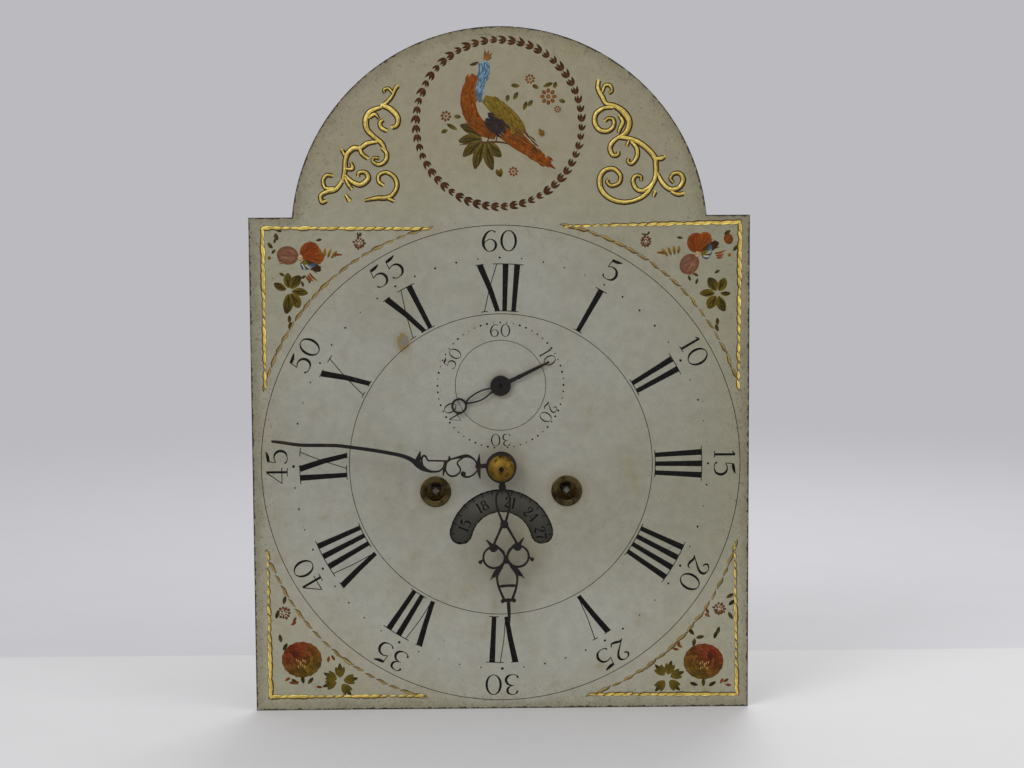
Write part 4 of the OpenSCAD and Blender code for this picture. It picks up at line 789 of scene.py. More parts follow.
# Hands: s along the hand from its axis, t to the clockwise side, width
HOUR_LOOPS = (
    [(9, 0, 4.6), (11, 0, 3.2), (14.4, 0, 3)],
    [(34.8, 0, 3.6), (37.4, 0, 3.4)],
    [(54.8, 0, 1.8), (57, 0, 2.6), (60, 0, 1.8)],
    [(82.6, 0, 2.2), (90.5, 0, 2.1), (97.4, 0, 0.8)],
    [(73.9, -6.2, 0.8), (73.9, -3.6, 1.7), (73.7, 0, 1.5), (73.9, 3.6, 1.7), (73.9, 6.2, 0.8)],
    [(83.2, -3.5, 1.5), (82.7, 0, 2.2), (83.2, 3.5, 1.5)],
)
HOUR_SIDES = (
    [(13.6, 1.3, 1.5), (17, 3.6, 1.3), (22, 4.2, 1.2), (28, 3, 1.3), (33.9, 1, 1.6)],
    [(36, 1.2, 1.9), (41.5, 3.9, 1.5), (46.4, 6.4, 1.5), (49.2, 7.2, 2)],
    [(48.4, 8.6, 2.4), (46.4, 10, 1.5), (44.6, 11.6, 0.6)],
    [(48.8, 5.6, 1.9), (51.4, 3, 1.4), (54.6, 1, 1.3), (57.8, 0.4, 1.4)],
    [(56.4, 13.4, 1.8), (57.4, 14.8, 1.2), (58.2, 15.8, 0.9)],
    [(57.6, 0.4, 1.4), (60.4, 2.4, 2), (63.5, 4.6, 2.7), (66.5, 5.9, 1.9), (69.5, 6.2, 1.4), (73.7, 5.6, 1.4),
     (77.5, 4.4, 1.4), (82.4, 2.5, 1.7)],
    [(61.6, 3, 2.8), (65, 7, 2), (69.6, 10.2, 0.5)],
    [(66.4, 6.4, 1.6), (68.4, 8.4, 0.5)],
)
HOUR_BALLS = ((12.4, 0, 2.3), (35.6, 0, 2.6))
HOUR_SIDE_BALLS = ((49.8, 7.35, 2.7), (58.2, 15.9, 1.2), (83.2, 3.5, 1.25))
HOUR_RING = (55.8, 7.35, 6.6, 1.3)

MINUTE_LINES = (
    [(7, 0.9, 3.4), (10.1, 0.6, 2.9), (13.6, 0, 2.6)],
    [(14.1, 7.4, 0.5), (14.1, 3.1, 2), (13.9, -0.2, 2.8), (13.2, -3.9, 1.9), (12.1, -7.8, 0.5)],
    [(14.4, 0.4, 1.4), (14.9, 1.2, 1.2), (16.3, 3.2, 1), (18.5, 4.8, 1.3), (21.4, 5.6, 2), (24.2, 4.9, 2.1),
     (26.9, 4.1, 1.5), (29.6, 3.1, 1.1), (31.9, 2.2, 1.2), (34.1, 0.6, 1.4)],
    [(14.2, -1.6, 1.4), (14.5, -2.6, 1.1), (15.3, -4.1, 1), (17, -5.9, 1), (19.2, -7.1, 1.1),
     (21.1, -7.3, 1.3), (22.5, -6.7, 1.6), (22.7, -5.7, 2)],
    [(23.6, 4.6, 1.2), (25.6, 2.7, 1), (26.8, 1.2, 1), (26.6, -0.2, 1), (25.5, -1.5, 1), (24.7, -2.9, 1),
     (24.7, -4.3, 1), (25.5, -5.6, 1), (27, -7, 1.1), (29, -7.6, 1.2), (30.9, -7.4, 1.1), (32.5, -6.2, 1),
     (33.5, -4.4, 1), (33.8, -2.1, 1.1), (33.5, 0.1, 1.1), (31.8, 2, 1.2)],
    [(32.1, 4.7, 0.5), (32, 3, 1.6), (31.9, 1.8, 1.9)],
    [(32.5, 1.3, 1.2), (38.8, 0.9, 1), (44.8, 0.4, 1)],
    [(44.5, 0.1, 1), (45.4, 1.3, 1), (46.2, 2.6, 1.2), (47.4, 3.2, 1.3), (48.4, 2.4, 1.3), (48.7, 0.7, 1.2),
     (48.3, -1.1, 1.2), (47.5, -3.2, 1.2), (45.2, -5.1, 1.2), (42.3, -6, 1.3), (39.5, -5.9, 1.2),
     (37.2, -5.2, 1.1), (35.5, -3.4, 1.1), (34.4, -1.2, 1.4)],
    [(34, 0.6, 2.3), (34.4, -3.1, 2), (34.6, -6, 1.3), (34.6, -7.9, 0.7)],
    [(41.8, -6.2, 1.4), (44.7, -5.6, 2), (47.6, -4.4, 3.4), (50.6, -2.3, 4.2), (53.6, -0.6, 3),
     (56.5, 0.7, 2.6), (60, 1.7, 2.4), (64.8, 2.4, 2.2), (76.6, 3.4, 2.2), (88.3, 3.9, 2.1),
     (100.1, 4.2, 2.1), (111.7, 3.3, 2.1), (123.3, 2.4, 2), (135, 2.9, 1.9), (140.3, 2.9, 1.4)],
    [(50, 5.8, 0.6), (50.3, 3.4, 1.9), (50.7, 1, 3), (51.4, -1.4, 3.2)],
)
MINUTE_BALLS = ((22.7, -5.6, 1.6), (13.9, -0.1, 2))

SECONDS_LINES = (
    [(5.4, 0, 2.7), (11.4, 0, 2.3), (12.6, 0, 3), (14, 0, 2.4), (27, 0, 1.9), (33.1, 0, 1.3)],
    [(-5.6, -1, 1.6), (-6.7, -1.4, 1), (-10.9, -2.4, 0.9), (-16.1, -2.4, 0.9), (-20.8, -1.5, 1),
     (-23.6, 0, 1.3)],
    [(-5.6, 1, 1.6), (-7.4, 1.4, 1), (-12.9, 2.6, 0.9), (-17.9, 2.2, 0.9), (-22.4, 0.9, 1), (-23.8, 0, 1.2)],
)
SECONDS_RING = (-28.2, 0, 4.25, 1.3)

# Wheels whose faces show lines of turning, and the joint each stands on
TURNED_WHEELS = {
    "centre_wheel": "centre_turn", "cannon_wheel": "centre_turn", "hour_wheel": "hour_turn",
    "third_wheel": "third_turn", "escape_wheel": "escape_turn", "minute_wheel": "minute_wheel_turn",
    "date_wheel": "date_wheel_turn", "going_great_wheel": "going_great_turn",
    "strike_great_wheel": "strike_great_turn", "pin_wheel": "pin_wheel_turn",
    "gathering_wheel": "gathering_turn", "warning_wheel": "warning_turn"}


# Groups of pieces


class ClockOperator(bpy.types.Operator):
    bl_options = {"REGISTER", "UNDO"}

    def dial(self):
        return bpy.context.scene.clock_dial


def turned_marks(piece, count, radius, centre, material, seed=1, sway=0.0, spread=0.0):
    where = (centre[0] + CENTRE.x) * MM, PAINT_BACK * MM, (centre[1] + CENTRE.y) * MM
    tree = bpy.data.node_groups.get("Marks round a ring") or ring_tree()
    return repeated(tree, piece, {"Count": count, "Radius": radius * MM, "Centre": where, "Seed": seed,
                                  "Unevenness": sway, "Size spread": spread, "Material": material})


def strokes_along(piece, line, material, spacing, turn=0.0, first=1.0, last=1.0, seed=1, sway=0.12,
                  spread=0.15):
    tree = bpy.data.node_groups.get("Strokes along a line") or path_tree()
    return repeated(tree, piece, {"Spacing": spacing * MM, "Turn": math.radians(turn), "First size": first,
                                  "Last size": last, "Seed": seed, "Unevenness": sway,
                                  "Size spread": spread, "Material": material}, line)


class CLOCK_OT_metal(ClockOperator):
    """Gives every sub-part of the movement its aged metal"""
    bl_idname = "clock.metal"
    bl_label = "Finish the movement"

    def execute(self, context):
        m = context.scene.clock_metal
        hands = context.scene.clock_hands
        brown, long_lines = srgb(92, 78, 62), (0.5, 4, 0.5)
        kinds = {
            "brass": metal("brass", m.brass, m.tarnish, 0.3, 0.05, 0.5, (1, 1, 5)),
            "turned_brass": metal("turned brass", m.brass, m.tarnish, 0.28, 0.07, 0.55, (0.4, 5, 0.4)),
            "steel": metal("steel", m.steel, brown, 0.34, 0.09, 0.5, long_lines),
            "iron": metal("iron", m.iron, srgb(60, 38, 24), 0.6, 0.12, 0.7),
            "blued_steel": metal("blued steel", hands.blue, srgb(46, 34, 26), 0.42, 0.15, 0.5, metallic=0.8,
                                 rust=hands.rust),
            "bell_metal": metal("bell metal", m.bell, srgb(108, 92, 58), 0.3, 0.04, 0.5, (0.6, 0.6, 6)),
            "hand_collet": metal("collet of the hands", srgb(128, 100, 42), srgb(54, 44, 22), 0.56, 0.22, 1.0,
                                 (1, 3, 1)),
        }
        for node, tip in (("centre_arbor", None), ("escape_arbor", None), ("going_barrel_arbor", WINDING[0]),
                          ("strike_barrel_arbor", WINDING[1])):
            kinds[node] = metal(node.replace("_", " ") + " steel", m.steel, brown, 0.36, 0.09, 0.5, long_lines,
                                end=node_box(node)[0].y, tip=tip)
        for node, joint in TURNED_WHEELS.items():
            kinds[node] = metal(node.replace("_", " ") + " brass", m.brass, m.tarnish, 0.3, 0.06, 0.5,
                                centre=axis(joint))
        for part in frame["record"]["subparts"]:
            if part["material_slot"] != "painted_dial":
                dress(part["node"], kinds.get(part["node"]) or kinds[part["material_slot"]])
        return {"FINISHED"}


class CLOCK_OT_ground(ClockOperator):
    """Paints the dial plate: aged ground, lighter towards the bottom as painted light, grimy margins, chipped
    edges and bare iron behind
    """
    bl_idname = "clock.ground"
    bl_label = "Paint the dial's ground"

    def execute(self, context):
        d = self.dial()
        f = Finish("painted dial", 0, 0.4, 0.3)
        where = f.place()
        x, y, z = f.split(where)
        # How far a place is from the sheet's edge, in the square or in the arch
        shoulder = DIAL_HIGH.z - ARCH_RADIUS
        side = f.math("SUBTRACT", DIAL_HIGH.x, f.math("ABSOLUTE", x))
        low = f.math("SUBTRACT", z, DIAL_LOW.z)
        high = f.math("SUBTRACT", shoulder + SHOULDER_RISE, z)
        square = f.math("MINIMUM", f.math("MINIMUM", side, low), high)
        rim = f.math("SUBTRACT", ARCH_RADIUS, f.distance_to(where, (0, shoulder)))
        edge = f.math("MAXIMUM", square, rim)
        # Slow changes of tone
        clouds = f.noise(where, 0.011, 4, 0.55)
        tone = f.over(d.ground, srgb(136, 134, 120), f.fade(clouds, 0.35, 0.65))
        wander = f.math("MULTIPLY_ADD", f.noise(where, 0.03, 3), 36, -18)
        outside = f.fade(f.math("ADD", f.distance_to(where, CENTRE), wander), 122, 172)
        tone = f.over(tone, d.margin, outside, 0.72)
        # Darker and yellower towards the right, more so towards the top
        tone = f.over(tone, srgb(128, 125, 102), f.fade(x, 20, 150), f.fade(z, -60, 80, 0, 0.5))
        arch = f.fade(f.math("ADD", z, f.math("MULTIPLY", wander, 0.4)), 212, 262)
        tone = f.over(tone, srgb(136, 129, 106), arch, 0.75)
        # Grime along the edges, and dirt in specks a little further in
        ragged = f.math("MULTIPLY_ADD", f.noise(where, 0.09, 4, 0.65), 14, -7)
        tone = f.over(tone, d.edge, f.fade(f.math("ADD", edge, ragged), 9, -1), 0.55)
        specked = f.fade(f.math("MULTIPLY_ADD", ragged, 1.6, edge), 24, 2)
        dirt = f.fade(f.noise(where, 0.55, 5, 0.75), 0.53, 0.66)
        tone = f.over(tone, srgb(74, 66, 42), specked, dirt, 0.62)
        # Mottled all over, and made lighter towards the bottom: painted light
        mottle = f.fade(f.noise(where, 0.14, 5, 0.7), 0.3, 0.7, 0.93, 1.07)
        tone = f.shade(tone, f.math("MULTIPLY", mottle, f.fade(z, 40, -40, 1, 1.13)))
        # Stains round the winding squares and the hands, brown foxing and dark specks
        for place, size in [(p, 16) for p in WINDING] + [(CENTRE, 19), (SECONDS, 11), (DATE, 37)]:
            near = f.math("ADD", f.distance_to(where, place), f.math("MULTIPLY", ragged, 0.5))
            tone = f.over(tone, srgb(112, 104, 78), f.fade(near, size, size * 0.62), 0.3)
        tone = f.over(tone, srgb(126, 116, 76), f.fade(f.noise(where, 0.045, 5, 0.7), 0.57, 0.76), 0.5)
        tone = f.over(tone, srgb(70, 60, 40), f.fade(f.noise(where, 0.8, 2, 0.5), 0.715, 0.75), 0.6)
        grain = f.noise(where, 1.3, 3, 0.7)
        tone = f.shade(tone, f.fade(grain, 0.25, 0.75, 0.955, 1.04))
        cells = f.add("ShaderNodeTexVoronoi", {"Vector": f.place((1, 1, 1.5)), "Scale": 0.075},
                      feature="DISTANCE_TO_EDGE")
        cracks = f.fade(cells.outputs["Distance"], 0.0, 0.012, 1, 0)
        tone = f.over(tone, srgb(96, 88, 66), cracks, f.fade(f.noise(where, 0.016, 3), 0.5, 0.62), 0.35)
        # The chip left of twelve and the flaked edges show dark iron
        chip = f.math("ADD", f.distance_to(where, CENTRE + CHIP, (1, 0, 0.8)),
                      f.math("MULTIPLY_ADD", f.noise(where, 0.5, 3), 5, -2.5))
        frayed = f.math("MULTIPLY_ADD", f.noise(where, 0.35, 4, 0.7), 4.2, -2.5)
        flaked = f.fade(f.math("ADD", edge, frayed), 0.5, 0.15)
        worn = f.fade(chip, 4.4, 3.4)
        lost = f.math("MAXIMUM", worn, flaked)
        tone = f.over(tone, srgb(122, 110, 80), f.fade(chip, 7, 4), 0.5)
        tone = f.over(tone, srgb(50, 40, 30), flaked)
        bare = f.over(srgb(124, 104, 62), srgb(108, 106, 100), f.fade(f.noise(where, 0.25, 3), 0.45, 0.6))
        tone = f.over(tone, bare, worn)
        rusty = f.over(d.bare_iron, srgb(74, 52, 36), f.fade(f.noise(where, 0.05, 4, 0.6), 0.4, 0.65))
        painted = f.fade(y, DIAL_FACE + 0.35, DIAL_FACE + 0.12)
        coat = f.math("ADD", f.math("MULTIPLY", clouds, 0.5), f.math("MULTIPLY", grain, 0.08))
        height = f.math("SUBTRACT", coat, f.math("ADD", lost, f.math("MULTIPLY", cracks, 0.2)))
        rough = f.math("ADD", f.fade(grain, 0.2, 0.8, 0.36, 0.5), f.math("MULTIPLY", lost, 0.25))
        dress("dial_plate", f.finish(f.mix(painted, rusty, tone), height, 0.12, 0.35, rough))
        return {"FINISHED"}


def write_roman(drawing, text, bearing, foot, top):
    """An hour numeral whose stems fan out from the centre, its feet inwards."""
    height, middle = top - foot, (foot + top) / 2
    half = {"I": 3.15, "V": 5.6, "X": 6.3}
    width = sum(2 * half[c] for c in text)

    def put(points, lift=0):
        stations = []
        for across, up, w in points:
            radius = foot + up * height
            q = polar((0, 0), radius, bearing + math.degrees(across / middle))
            stations.append((q.x, q.y, w * (radius / middle if w > 1 else 1)))
        drawing.paint(stations, raised=0.05 + lift, steps=0, section=FLAT)

    def level(start, end, up):
        put([(start + (end - start) * i / 8, up, 0.5) for i in range(9)], 0.004)

    left = -width / 2
    for c in text:
        mid, h = left + half[c], half[c]
        if c == "I":
            put([(mid, 0, 3.3), (mid, 0.5, 3.2), (mid, 1, 3.3)])
            level(left - 0.2, left + 2 * h + 0.2, 0.0)
            level(left - 0.2, left + 2 * h + 0.2, 1.0)
        elif c == "V":
            put([(mid - h * 0.72, 1, 3.4), (mid - h * 0.36, 0.5, 3.3), (mid, 0, 3.2)])
            put([(mid + h * 0.76, 1, 0.5), (mid + h * 0.38, 0.5, 0.5), (mid + 0.6, 0, 0.5)])
            level(mid - h * 1.02, mid - h * 0.3, 1.0)
            level(mid + h * 0.42, mid + h * 1.02, 1.0)
        else:
            put([(mid - h * 0.72, 1, 3.4), (mid, 0.5, 3.3), (mid + h * 0.72, 0, 3.4)])
            put([(mid + h * 0.74, 1, 0.5), (mid, 0.5, 0.5), (mid - h * 0.74, 0, 0.5)])
            for end, up in ((-0.72, 1.0), (0.74, 1.0), (0.72, 0.0), (-0.74, 0.0)):
                level(mid + h * end - 2.2, mid + h * end + 2.2, up)
        left += 2 * half[c]


class CLOCK_OT_hours(ClockOperator):
    """Writes the twelve hours in Roman figures, four as IIII, their feet to the centre"""
    bl_idname = "clock.hours"
    bl_label = "Write the hours"

    def execute(self, context):
        d = self.dial()
        drawing = Drawing(CENTRE)
        names = ("XII", "I", "II", "III", "IIII", "V", "VI", "VII", "VIII", "IX", "X", "XI")
        for hour, text in enumerate(names):
            write_roman(drawing, text, 30 * hour, d.roman_foot / MM + FOOT_GAP, d.roman_top / MM)
        drawing.place("hour_figures", worn_black("hour figures' black", d, 0.1))
        return {"FINISHED"}


class CLOCK_OT_minutes(ClockOperator):
    """Writes the minutes in fives outside the hours"""
    bl_idname = "clock.minutes"
    bl_label = "Write the minutes"

    def execute(self, context):
        d = self.dial()
        drawing = Drawing(CENTRE)
        for minute in range(5, 65, 5):
            write_figures(drawing, minute, (0, 0), d.arabic_foot / MM, d.arabic_height / MM, 6 * minute,
                          d.relief / MM, 1.25, 1.4)
        drawing.place("minute_figures", worn_black("minute figures' black", d, 0.14))
        return {"FINISHED"}


class CLOCK_OT_circles(ClockOperator):
    """Draws the thin circles with the worn dots of the minutes and of the seconds"""
    bl_idname = "clock.circles"
    bl_label = "Draw the circles and dots"

    def execute(self, context):
        d = self.dial()
        black = worn_black("circles' black", d, 0.35)
        drawing = Drawing(CENTRE)
        second = SECONDS - CENTRE
        for centre, radius, width in (((0, 0), d.outer_circle, 0.42), ((0, 0), d.roman_foot - 0.5 * MM, 0.4),
                                      (second, d.seconds_circle, 0.34)):
            line = [(*polar(centre, radius / MM, 1.5 * i), width) for i in range(240)]
            drawing.paint(line, raised=0.035, steps=0, section=FLAT, closed=True)
        lines = drawing.mesh("circles")
        lines.materials.append(black)
        small, large = loose_piece(), loose_piece()
        small.spot((0, 0), 0.55, raised=0.05, flat=0.5 / 0.55, sides=10)
        large.spot((0, 0), 0.78, raised=0.06, flat=0.7 / 0.78, sides=12)
        meshes = [lines,
                  turned_marks(small, 60, d.minute_dots / MM, (0, 0), black, 4, 0.3, 0.3),
                  turned_marks(large, 12, d.minute_dots / MM + 0.1, (0, 0), black, 9, 0.3, 0.25),
                  turned_marks(small, 60, SECONDS_DOTS, second, black, 2, 0.3, 0.35)]
        settle(joined(meshes, "circles_and_dots"), "circles_and_dots", black)
        return {"FINISHED"}


class CLOCK_OT_seconds(ClockOperator):
    """Writes the seconds in tens round their small circle"""
    bl_idname = "clock.seconds"
    bl_label = "Write the seconds"

    def execute(self, context):
        d = self.dial()
        drawing = Drawing(CENTRE)
        for second in range(10, 70, 10):
            write_figures(drawing, second, SECONDS - CENTRE, SECONDS_FOOT, SECONDS_HEIGHT, 6 * second,
                          d.relief / MM, 1.1, 1.35)
        drawing.place("seconds_figures", worn_black("seconds figures' black", d, 0.2))
        return {"FINISHED"}


class CLOCK_OT_date(ClockOperator):
    """Paints the date disc and writes every third day on it, with a tick for each day"""
    bl_idname = "clock.date"
    bl_label = "Write the date disc"

    def execute(self, context):
        d = self.dial()
        face = node_box("date_disc")[0].y
        drawing, middle = Drawing(CENTRE, face + 0.01, face), DATE - CENTRE
        step = 360 / 31
        for day in range(1, 32):
            bearing = (day - 20) * step - 5
            ends = zip(TICK_ENDS, (0.5, 0.45))
            drawing.paint([(*polar(middle, r, bearing + step / 2), w) for r, w in ends], raised=0.03, steps=0,
                          section=FLAT)
            if day % 3 == 0:
                # Some of the figures are painted a little askew
                bearing += {15: -3, 21: 6, 24: 6, 27: 2}.get(day, 0)
                write_figures(drawing, day, middle, DATE_FOOT, DATE_HEIGHT, bearing, 0.04, 1.8, 1.1)
        black = worn_black("date figures' black", d, 0.1)
        drawing.place("date_figures", black, "date")
        # The worn, darkened edge of the window
        edge, rng = Drawing(CENTRE), random.Random(8)
        belly, end_radius = (WINDOW_OUTER + WINDOW_INNER) / 2, (WINDOW_OUTER - WINDOW_INNER) / 2

        def end(side, start):
            return [polar(polar(middle, belly, side * WINDOW_HALF), end_radius, start + 9 * i)
                    for i in range(1, 20)]

        outline = [polar(middle, WINDOW_OUTER, WINDOW_HALF * (i / 45 - 1)) for i in range(91)]
        outline += end(1, WINDOW_HALF)
        outline += [polar(middle, WINDOW_INNER, WINDOW_HALF * (1 - i / 30)) for i in range(61)]
        outline += end(-1, 180 - WINDOW_HALF)
        edge.paint([(*p, rng.uniform(0.25, 0.9) + (0.25 if i < 91 else 0)) for i, p in enumerate(outline)],
                   raised=0.02, steps=0, section=FLAT, closed=True)
        edge.place("date_aperture_edge", black)
        # The disc's colour is darkened overall as painted shade of the window's recess, and darker still towards
        # the window's ends as a painted shadow
        f = Finish("painted date disc", 0, 0.55, 0.1)
        where = f.place()
        tone = f.over(d.date_ground, srgb(70, 68, 58), f.fade(f.noise(where, 0.05, 4), 0.35, 0.7))
        shadow = f.fade(f.split(where)[2], DATE.y + 30, DATE.y + 6, 1, 0.5)
        uneven = f.fade(f.noise(where, 1.2, 2), 0.3, 0.7, 0.93, 1.05)
        dress("date_disc", f.finish(f.shade(tone, f.math("MULTIPLY", uneven, shadow)),
                                    f.noise(where, 0.8, 2), 0.03, 0.3))
        return {"FINISHED"}


class CLOCK_OT_borders(ClockOperator):
    """Gilds the roped borders of the corners, with a painted highlight on each link, and the leaf strokes beside
    the circle
    """
    bl_idname = "clock.borders"
    bl_label = "Gild the corner borders"

    def execute(self, context):
        d = self.dial()
        gilt = gilding("border gilding")
        brown = brushed_paint("border leaves", d, 0.5)
        rope, leaf, twig = loose_piece(), loose_piece(), loose_piece()
        for piece, points, colour, tip, raised in (
                (rope, [(-4, -0.8, 0.6), (-1.5, -0.25, 2.5), (1.5, 0.15, 2.5), (4, 0.8, 0.5)],
                 srgb(78, 54, 16), srgb(62, 42, 14), 0.06),
                (rope, [(-3.4, -0.5, 0.3), (-1.3, 0.05, 1.8), (1.4, 0.35, 1.7), (3.4, 0.9, 0.2)],
                 d.gold, srgb(176, 144, 56), 0.15),
                (leaf, [(-4.3, -0.5, 0.3), (-1.5, 0.2, 2), (1.6, -0.2, 1.9), (4.4, 0.4, 0.3)],
                 srgb(92, 70, 32), srgb(74, 54, 24), 0.06),
                (twig, [(-3.7, -0.3, 0.2), (-1.3, 0.4, 1.3), (1.5, 0.05, 1.2), (3.9, 0.5, 0.2)],
                 srgb(150, 132, 84), srgb(122, 102, 58), 0.1)):
            piece.paint(points, colour, tip, raised, 3)
        # A painted highlight on each link of the rope
        rope.paint([(-1.9, 0.5, 0.15), (0.2, 0.75, 0.5), (2.2, 1, 0.15)], srgb(240, 224, 140), raised=0.2,
                   steps=0)
        straight, curved = [], []
        for seed, (elbow, level, upright) in enumerate(CORNERS):
            e, a, b = Vector(elbow), Vector(level), Vector(upright)
            for k, end in enumerate((a, b)):
                inset = 3.2 / (end - e).length
                line = [tuple(e + (end - e) * (inset + (1 - inset) * i / 8)) for i in range(9)]
                straight.append(strokes_along(rope, line, gilt, 5.4, 2, 1.1, 0.78, 3 * seed + k, 0.14, 0.24))
            start = math.degrees(math.atan2(a.x, a.y))
            stop = math.degrees(math.atan2(b.x, b.y))
            if stop - start > 180:
                stop -= 360
            elif start - stop > 180:
                stop += 360
            first, last = a.length, b.length
            line = []
            for i in range(41):
                t = i / 40
                radius = first + (last - first) * t + 1.8 * math.sin(math.pi * t)
                line.append(tuple(polar((0, 0), radius, start + (stop - start) * t)))
            for part in (leaf, twig):
                curved.append(strokes_along(part, line, brown, 7.9, 0, 1, 0.9, 7 * seed, 0.14, 0.22))
        settle(joined(straight, "roped_borders"), "roped_borders", gilt)
        settle(joined(curved, "border_leaves"), "border_leaves", brown)
        return {"FINISHED"}


def petal(drawing, centre, length, width, bearing, heart, edge, raised, seed):
    """A broad petal with its heart at the foot, and fine strokes fanning out to its edge."""
    rng = random.Random(seed)
    foot = Vector(centre)
    drawing.spot(polar(foot, length * 0.52, bearing), width / 2, heart, edge, raised, length / width,
                 math.radians(-bearing), 22)
    for _ in range(15):
        lean = bearing + rng.uniform(-34, 34) * width / length
        first, last = (polar(foot, length * rng.uniform(*share), lean) for share in ((0.14, 0.4), (0.78, 0.97)))
        colour = [u + (v - u) * rng.uniform(0.1, 1) for u, v in zip(heart, edge)]
        light = rng.uniform(0.62, 1.4)
        drawing.paint([(*first, 0.3), (*((first + last) / 2), 0.75), (*last, 0.3)], shaded(colour, light),
                      shaded(edge, light), raised + 0.03, 0)


def pansy(drawing, eye, turn):
    """A pansy: a dusty pink petal, two orange-brown ones, an olive one, and a slate lip with lights."""
    def at(radius, bearing):
        return polar(eye, radius, bearing + turn)

    petal(drawing, at(0.6, -80), 13.6, 11.6, -80 + turn, srgb(136, 98, 78), srgb(96, 58, 40), 0.05, 1)
    petal(drawing, at(1, 80), 13.6, 9.6, 90 + turn, srgb(98, 42, 14), srgb(126, 62, 14), 0.05, 2)
    petal(drawing, at(0.4, 50), 12.6, 11.6, 58 + turn, srgb(80, 30, 16), srgb(118, 56, 16), 0.08, 3)
    petal(drawing, at(2.4, 130), 12.4, 5.4, 122 + turn, srgb(76, 48, 18), srgb(48, 28, 14), 0.09, 4)
    petal(drawing, at(2.2, 145), 6.2, 5.4, 146 + turn, srgb(104, 92, 28), srgb(82, 68, 22), 0.12, 5)
    lights = (SLATE, srgb(200, 198, 176), SLATE, srgb(206, 200, 150), srgb(92, 112, 134), SLATE)
    for i, colour in enumerate(lights):
        first, last = at(3.4 + i * 0.6, 176 - i * 9), at(7.6 + i * 0.7, 168 - i * 12)
        bow = (first + last) / 2 + Vector((0.5, -0.6))
        drawing.paint([(*first, 0.7), (*bow, 1.9), (*last, 0.5)], colour, SLATE, 0.13 + 0.01 * i, 3)
    for i, bearing in enumerate((150, 157, 163)):
        drawing.paint([(*at(11 + i * 0.6, bearing), 1), (*at(14.4, bearing - 2), 1.5),
                       (*at(17.6 - i, bearing - 6), 0.4)], srgb(104, 50, 22), srgb(126, 78, 44), 0.08, 3)
    drawing.spot(eye, 1.7, srgb(196, 180, 146), srgb(128, 92, 62), 0.17, 1.2)
    drawing.spot(eye, 0.7, srgb(120, 70, 30), DARK, 0.19)


def rose(drawing, centre, mirror):
    """A full rose: a red-brown ball, shaded on one side, with curved lights of petals."""
    c = Vector(centre)
    drawing.spot(c, 12.6, srgb(92, 42, 20), srgb(68, 30, 14), 0.05, 11.4 / 12.6, 0, 26)
    rng = random.Random(5)
    for ring, (radius, count, width) in enumerate(((10.3, 17, 3), (8, 13, 3), (5.5, 10, 2.7), (3, 6, 2.1))):
        for i in range(count):
            a = math.tau * i / count + ring * 0.4
            lit = 0.5 - 0.5 * math.cos(a + (2.2 if mirror > 0 else 0.9))
            span = 0.56 * math.tau / count
            line = []
            for k in range(5):
                b = a - span + 2 * span * k / 4
                r = radius + 0.8 * math.sin(math.pi * k / 4)
                line.append((c.x + r * math.cos(b), c.y + r * math.sin(b) * 0.9,
                             width * (0.35 + 0.65 * math.sin(math.pi * (k + 0.3) / 4.6))))
            base = shaded(blend(srgb(98, 76, 22), srgb(108, 44, 22), lit), rng.uniform(0.62, 1.35))
            drawing.paint(line, base, shaded(base, 0.66), 0.08 + 0.015 * ring, 3)
    eye = c + Vector((4.2 * mirror, 3.4))
    drawing.spot(eye, 2.4, srgb(58, 24, 20), srgb(76, 34, 18), 0.15, 1.2)
    for i in range(9):
        column, row = i % 5, i // 5
        q = eye + Vector(((-0.6 - 1.3 * column - row) * mirror, -3 - 0.6 * (i % 3) - 2.6 * row))
        line = [(q.x, q.y, 0.25), (q.x - 0.5 * mirror, q.y - 1, 0.7), (q.x - 0.3 * mirror, q.y - 2, 0.2)]
        drawing.paint(line, srgb(196, 162, 104), srgb(150, 104, 60), 0.17)


def ring_flower(drawing, centre, size, colour, seed, leaves=True):
    """A small ring of dabs round a dark eye, with little leaves."""
    rng = random.Random(seed)
    for i in range(11):
        a = math.tau * i / 11
        r = size * rng.uniform(0.75, 1.05)
        drawing.spot((centre[0] + r * math.cos(a), centre[1] + r * math.sin(a)), size * rng.uniform(0.24, 0.36),
                     [v * rng.uniform(0.75, 1.2) for v in colour], DARK, 0.07, 0.8, a, 9)
    for i in range(6):
        a, r = math.tau * i / 6 + 0.4, size * 0.42
        drawing.spot((centre[0] + r * math.cos(a), centre[1] + r * math.sin(a)), size * 0.2,
                     [v * rng.uniform(0.6, 1) for v in colour], BROWN, 0.07, 0.8, a, 9)
    for i in range(4 if leaves else 0):
        foot = centre[0] + rng.uniform(-1, 1), centre[1] + size * 1.3
        drawing.leaf(foot, rng.uniform(-80, 70), size * 0.85, size * 0.34, DARK, OLIVE, 0.01 * i)


